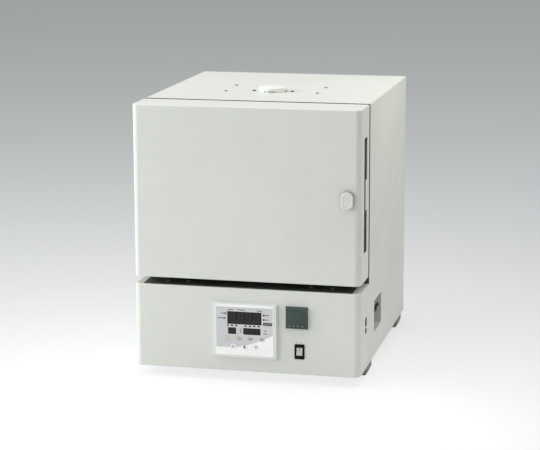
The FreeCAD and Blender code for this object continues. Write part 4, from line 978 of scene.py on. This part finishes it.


# a black ring round each blanking plug that paints the shade at its edge
plugShade = dict(wider=0.004, taller=0.002, squarer=0.0001, sunk=0.0003, raised=0.0006, steps=8)


def makePlugShadeRings():
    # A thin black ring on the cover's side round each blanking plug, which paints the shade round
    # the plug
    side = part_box("front_cover")[1].x
    grids = []
    for low, high in islands("side_plugs"):
        middle, size = (low + high) / 2, high - low
        wide, tall = size[1] + plugShade["wider"], size[2] + plugShade["taller"]
        half = min(wide, tall) / 2
        grids.append(plate((side, middle[1], middle[2]), "x", wide, tall, half - plugShade["squarer"],
                           -plugShade["sunk"], plugShade["raised"], half, plugShade["steps"]))
    makePiece("plug_seals", grids, "case", "black_plastic")


makeLimitParts()
for i, outlines in enumerate(limitSigns):
    makeKey("limit_key_" + str(i + 1), limitKey, "_pad", "limit_key", "limit_ink",
            outlines)
makeRockerMark()
makeSwitchTicks()
makePlugShadeRings()
print("limit controller and switch marked")

for name in ("case_cover", "front_cover", "door_skin", "controller_housing", "exhaust_collar",
             "side_plugs", "hinge_leaf_case", "hinge_leaf_door", "hinge_pins", "cable_gland",
             "latch_cam", "latch_spindle", "latch_keeper", "exhaust_tube", "thermocouple",
             "power_rocker", "breaker_lever", "heater_terminals"):
    smoothCopy(name)
print("round edges smoothed")

# least keeps the tone's divisor above nothing; cooled is the range of tones that turn cooler
ground = dict(size=60.0, level=0.34, rise=0.60, reach=2.0, centreY=-0.75, start=0.9, least=0.1,
              most=1.06, diffuse=0.20, glow=0.90, coolest=0.955, cooled=(0.5, 1.0), plain=0.8)
studio = dict(strength=0.48, backdrop=0.42)


def makeFloor():
    # A pale floor, white near the object and greyer far off, by its distance r from centreY:
    # level + rise / (1 + (r - start) / reach)
    half = ground["size"] / 2
    mesh = bpy.data.meshes.new("floor")
    mesh.from_pydata([(-half, -half, 0), (half, -half, 0), (half, half, 0), (-half, half, 0)], [],
                     [(0, 1, 2, 3)])
    addObject("floor", mesh)
    material = bpy.data.materials.new("floor")
    tree = clearTree(material)
    place = addNode(tree, "TexCoord").outputs["Object"]
    off = addNode(tree, "VectorMath", {0: place, 1: (0.0, ground["centreY"], 0.0)},
                  operation="DISTANCE").outputs["Value"]
    share = sums(tree, "DIVIDE", sums(tree, "SUBTRACT", off, ground["start"]), ground["reach"])
    below = sums(tree, "MAXIMUM", sums(tree, "ADD", share, 1.0), ground["least"])
    tone = sums(tree, "ADD", sums(tree, "DIVIDE", ground["rise"], below), ground["level"])
    tone = sums(tree, "MINIMUM", tone, ground["most"])
    red = sums(tree, "MULTIPLY", tone, ramp(tree, tone, *ground["cooled"], ground["coolest"], 1.0))
    shade = addNode(tree, "CombineColor", {"Red": red, "Green": tone, "Blue": tone}).outputs[0]
    diffuse = addNode(tree, "BsdfDiffuse", {"Color": shade}).outputs[0]
    glow = addNode(tree, "Emission", {"Color": shade, "Strength": ground["glow"]}).outputs[0]
    mixed = addNode(tree, "MixShader", {0: 1 - ground["diffuse"], 1: diffuse, 2: glow}).outputs[0]
    plain = addNode(tree, "BsdfDiffuse", {"Color": (*[ground["plain"]] * 3, 1)}).outputs[0]
    rays = addNode(tree, "LightPath").outputs
    seen = sums(tree, "MAXIMUM", rays["Is Camera Ray"], rays["Is Glossy Ray"])
    seen = sums(tree, "MAXIMUM", seen, rays["Is Transmission Ray"])
    whole = addNode(tree, "MixShader", {0: seen, 1: plain, 2: mixed}).outputs[0]
    tree.links.new(whole, addNode(tree, "OutputMaterial").inputs["Surface"])
    mesh.materials.append(material)


def makeWorld():
    # Even light from all round; the camera sees a plain grey
    world = bpy.data.worlds.new("studio")
    bpy.context.scene.world = world
    tree = clearTree(world)
    light, seen = (addNode(tree, "Background", {"Color": (grey, grey, grey, 1),
                                                "Strength": strength}).outputs[0]
                   for grey, strength in ((1, studio["strength"]), (studio["backdrop"], 1.0)))
    isSeen = addNode(tree, "LightPath").outputs["Is Camera Ray"]
    mixed = addNode(tree, "MixShader", {0: isSeen, 1: light, 2: seen}).outputs[0]
    tree.links.new(mixed, addNode(tree, "OutputWorld").inputs["Surface"])


lampAim = (0, 0, 0.3)
lamps = {
    "left": dict(place=(-2.8, -0.5, 1.3), size=1.8, power=56, colour=(0.96, 1.0, 1.0)),
    "front": dict(place=(-2.2, -2.4, 1.4), size=1.2, power=24, colour=(0.98, 1.0, 0.99)),
    "top": dict(place=(-0.3, -0.3, 3.2), size=2.4, power=46, colour=(0.95, 1.0, 0.98)),
    "right": dict(place=(0.75, 0.1, 0.95), size=0.36, power=2.3, colour=(1.0, 0.90, 0.84)),
}


def makeLamp(name, place, size, power, colour):
    data = bpy.data.lights.new(name, "AREA")
    data.shape, data.size, data.energy = "SQUARE", size, power
    data.color = colour
    lamp = addObject(name, data)
    towards = (Vector(lampAim) - Vector(place)).to_track_quat("-Z", "Y")
    lamp.matrix_world = Matrix.Translation(place) @ towards.to_matrix().to_4x4()


makeFloor()
makeWorld()
for name, given in lamps.items():
    makeLamp(name, **given)
bpy.context.scene.view_settings.view_transform = "Standard"
print("floor and lights set")
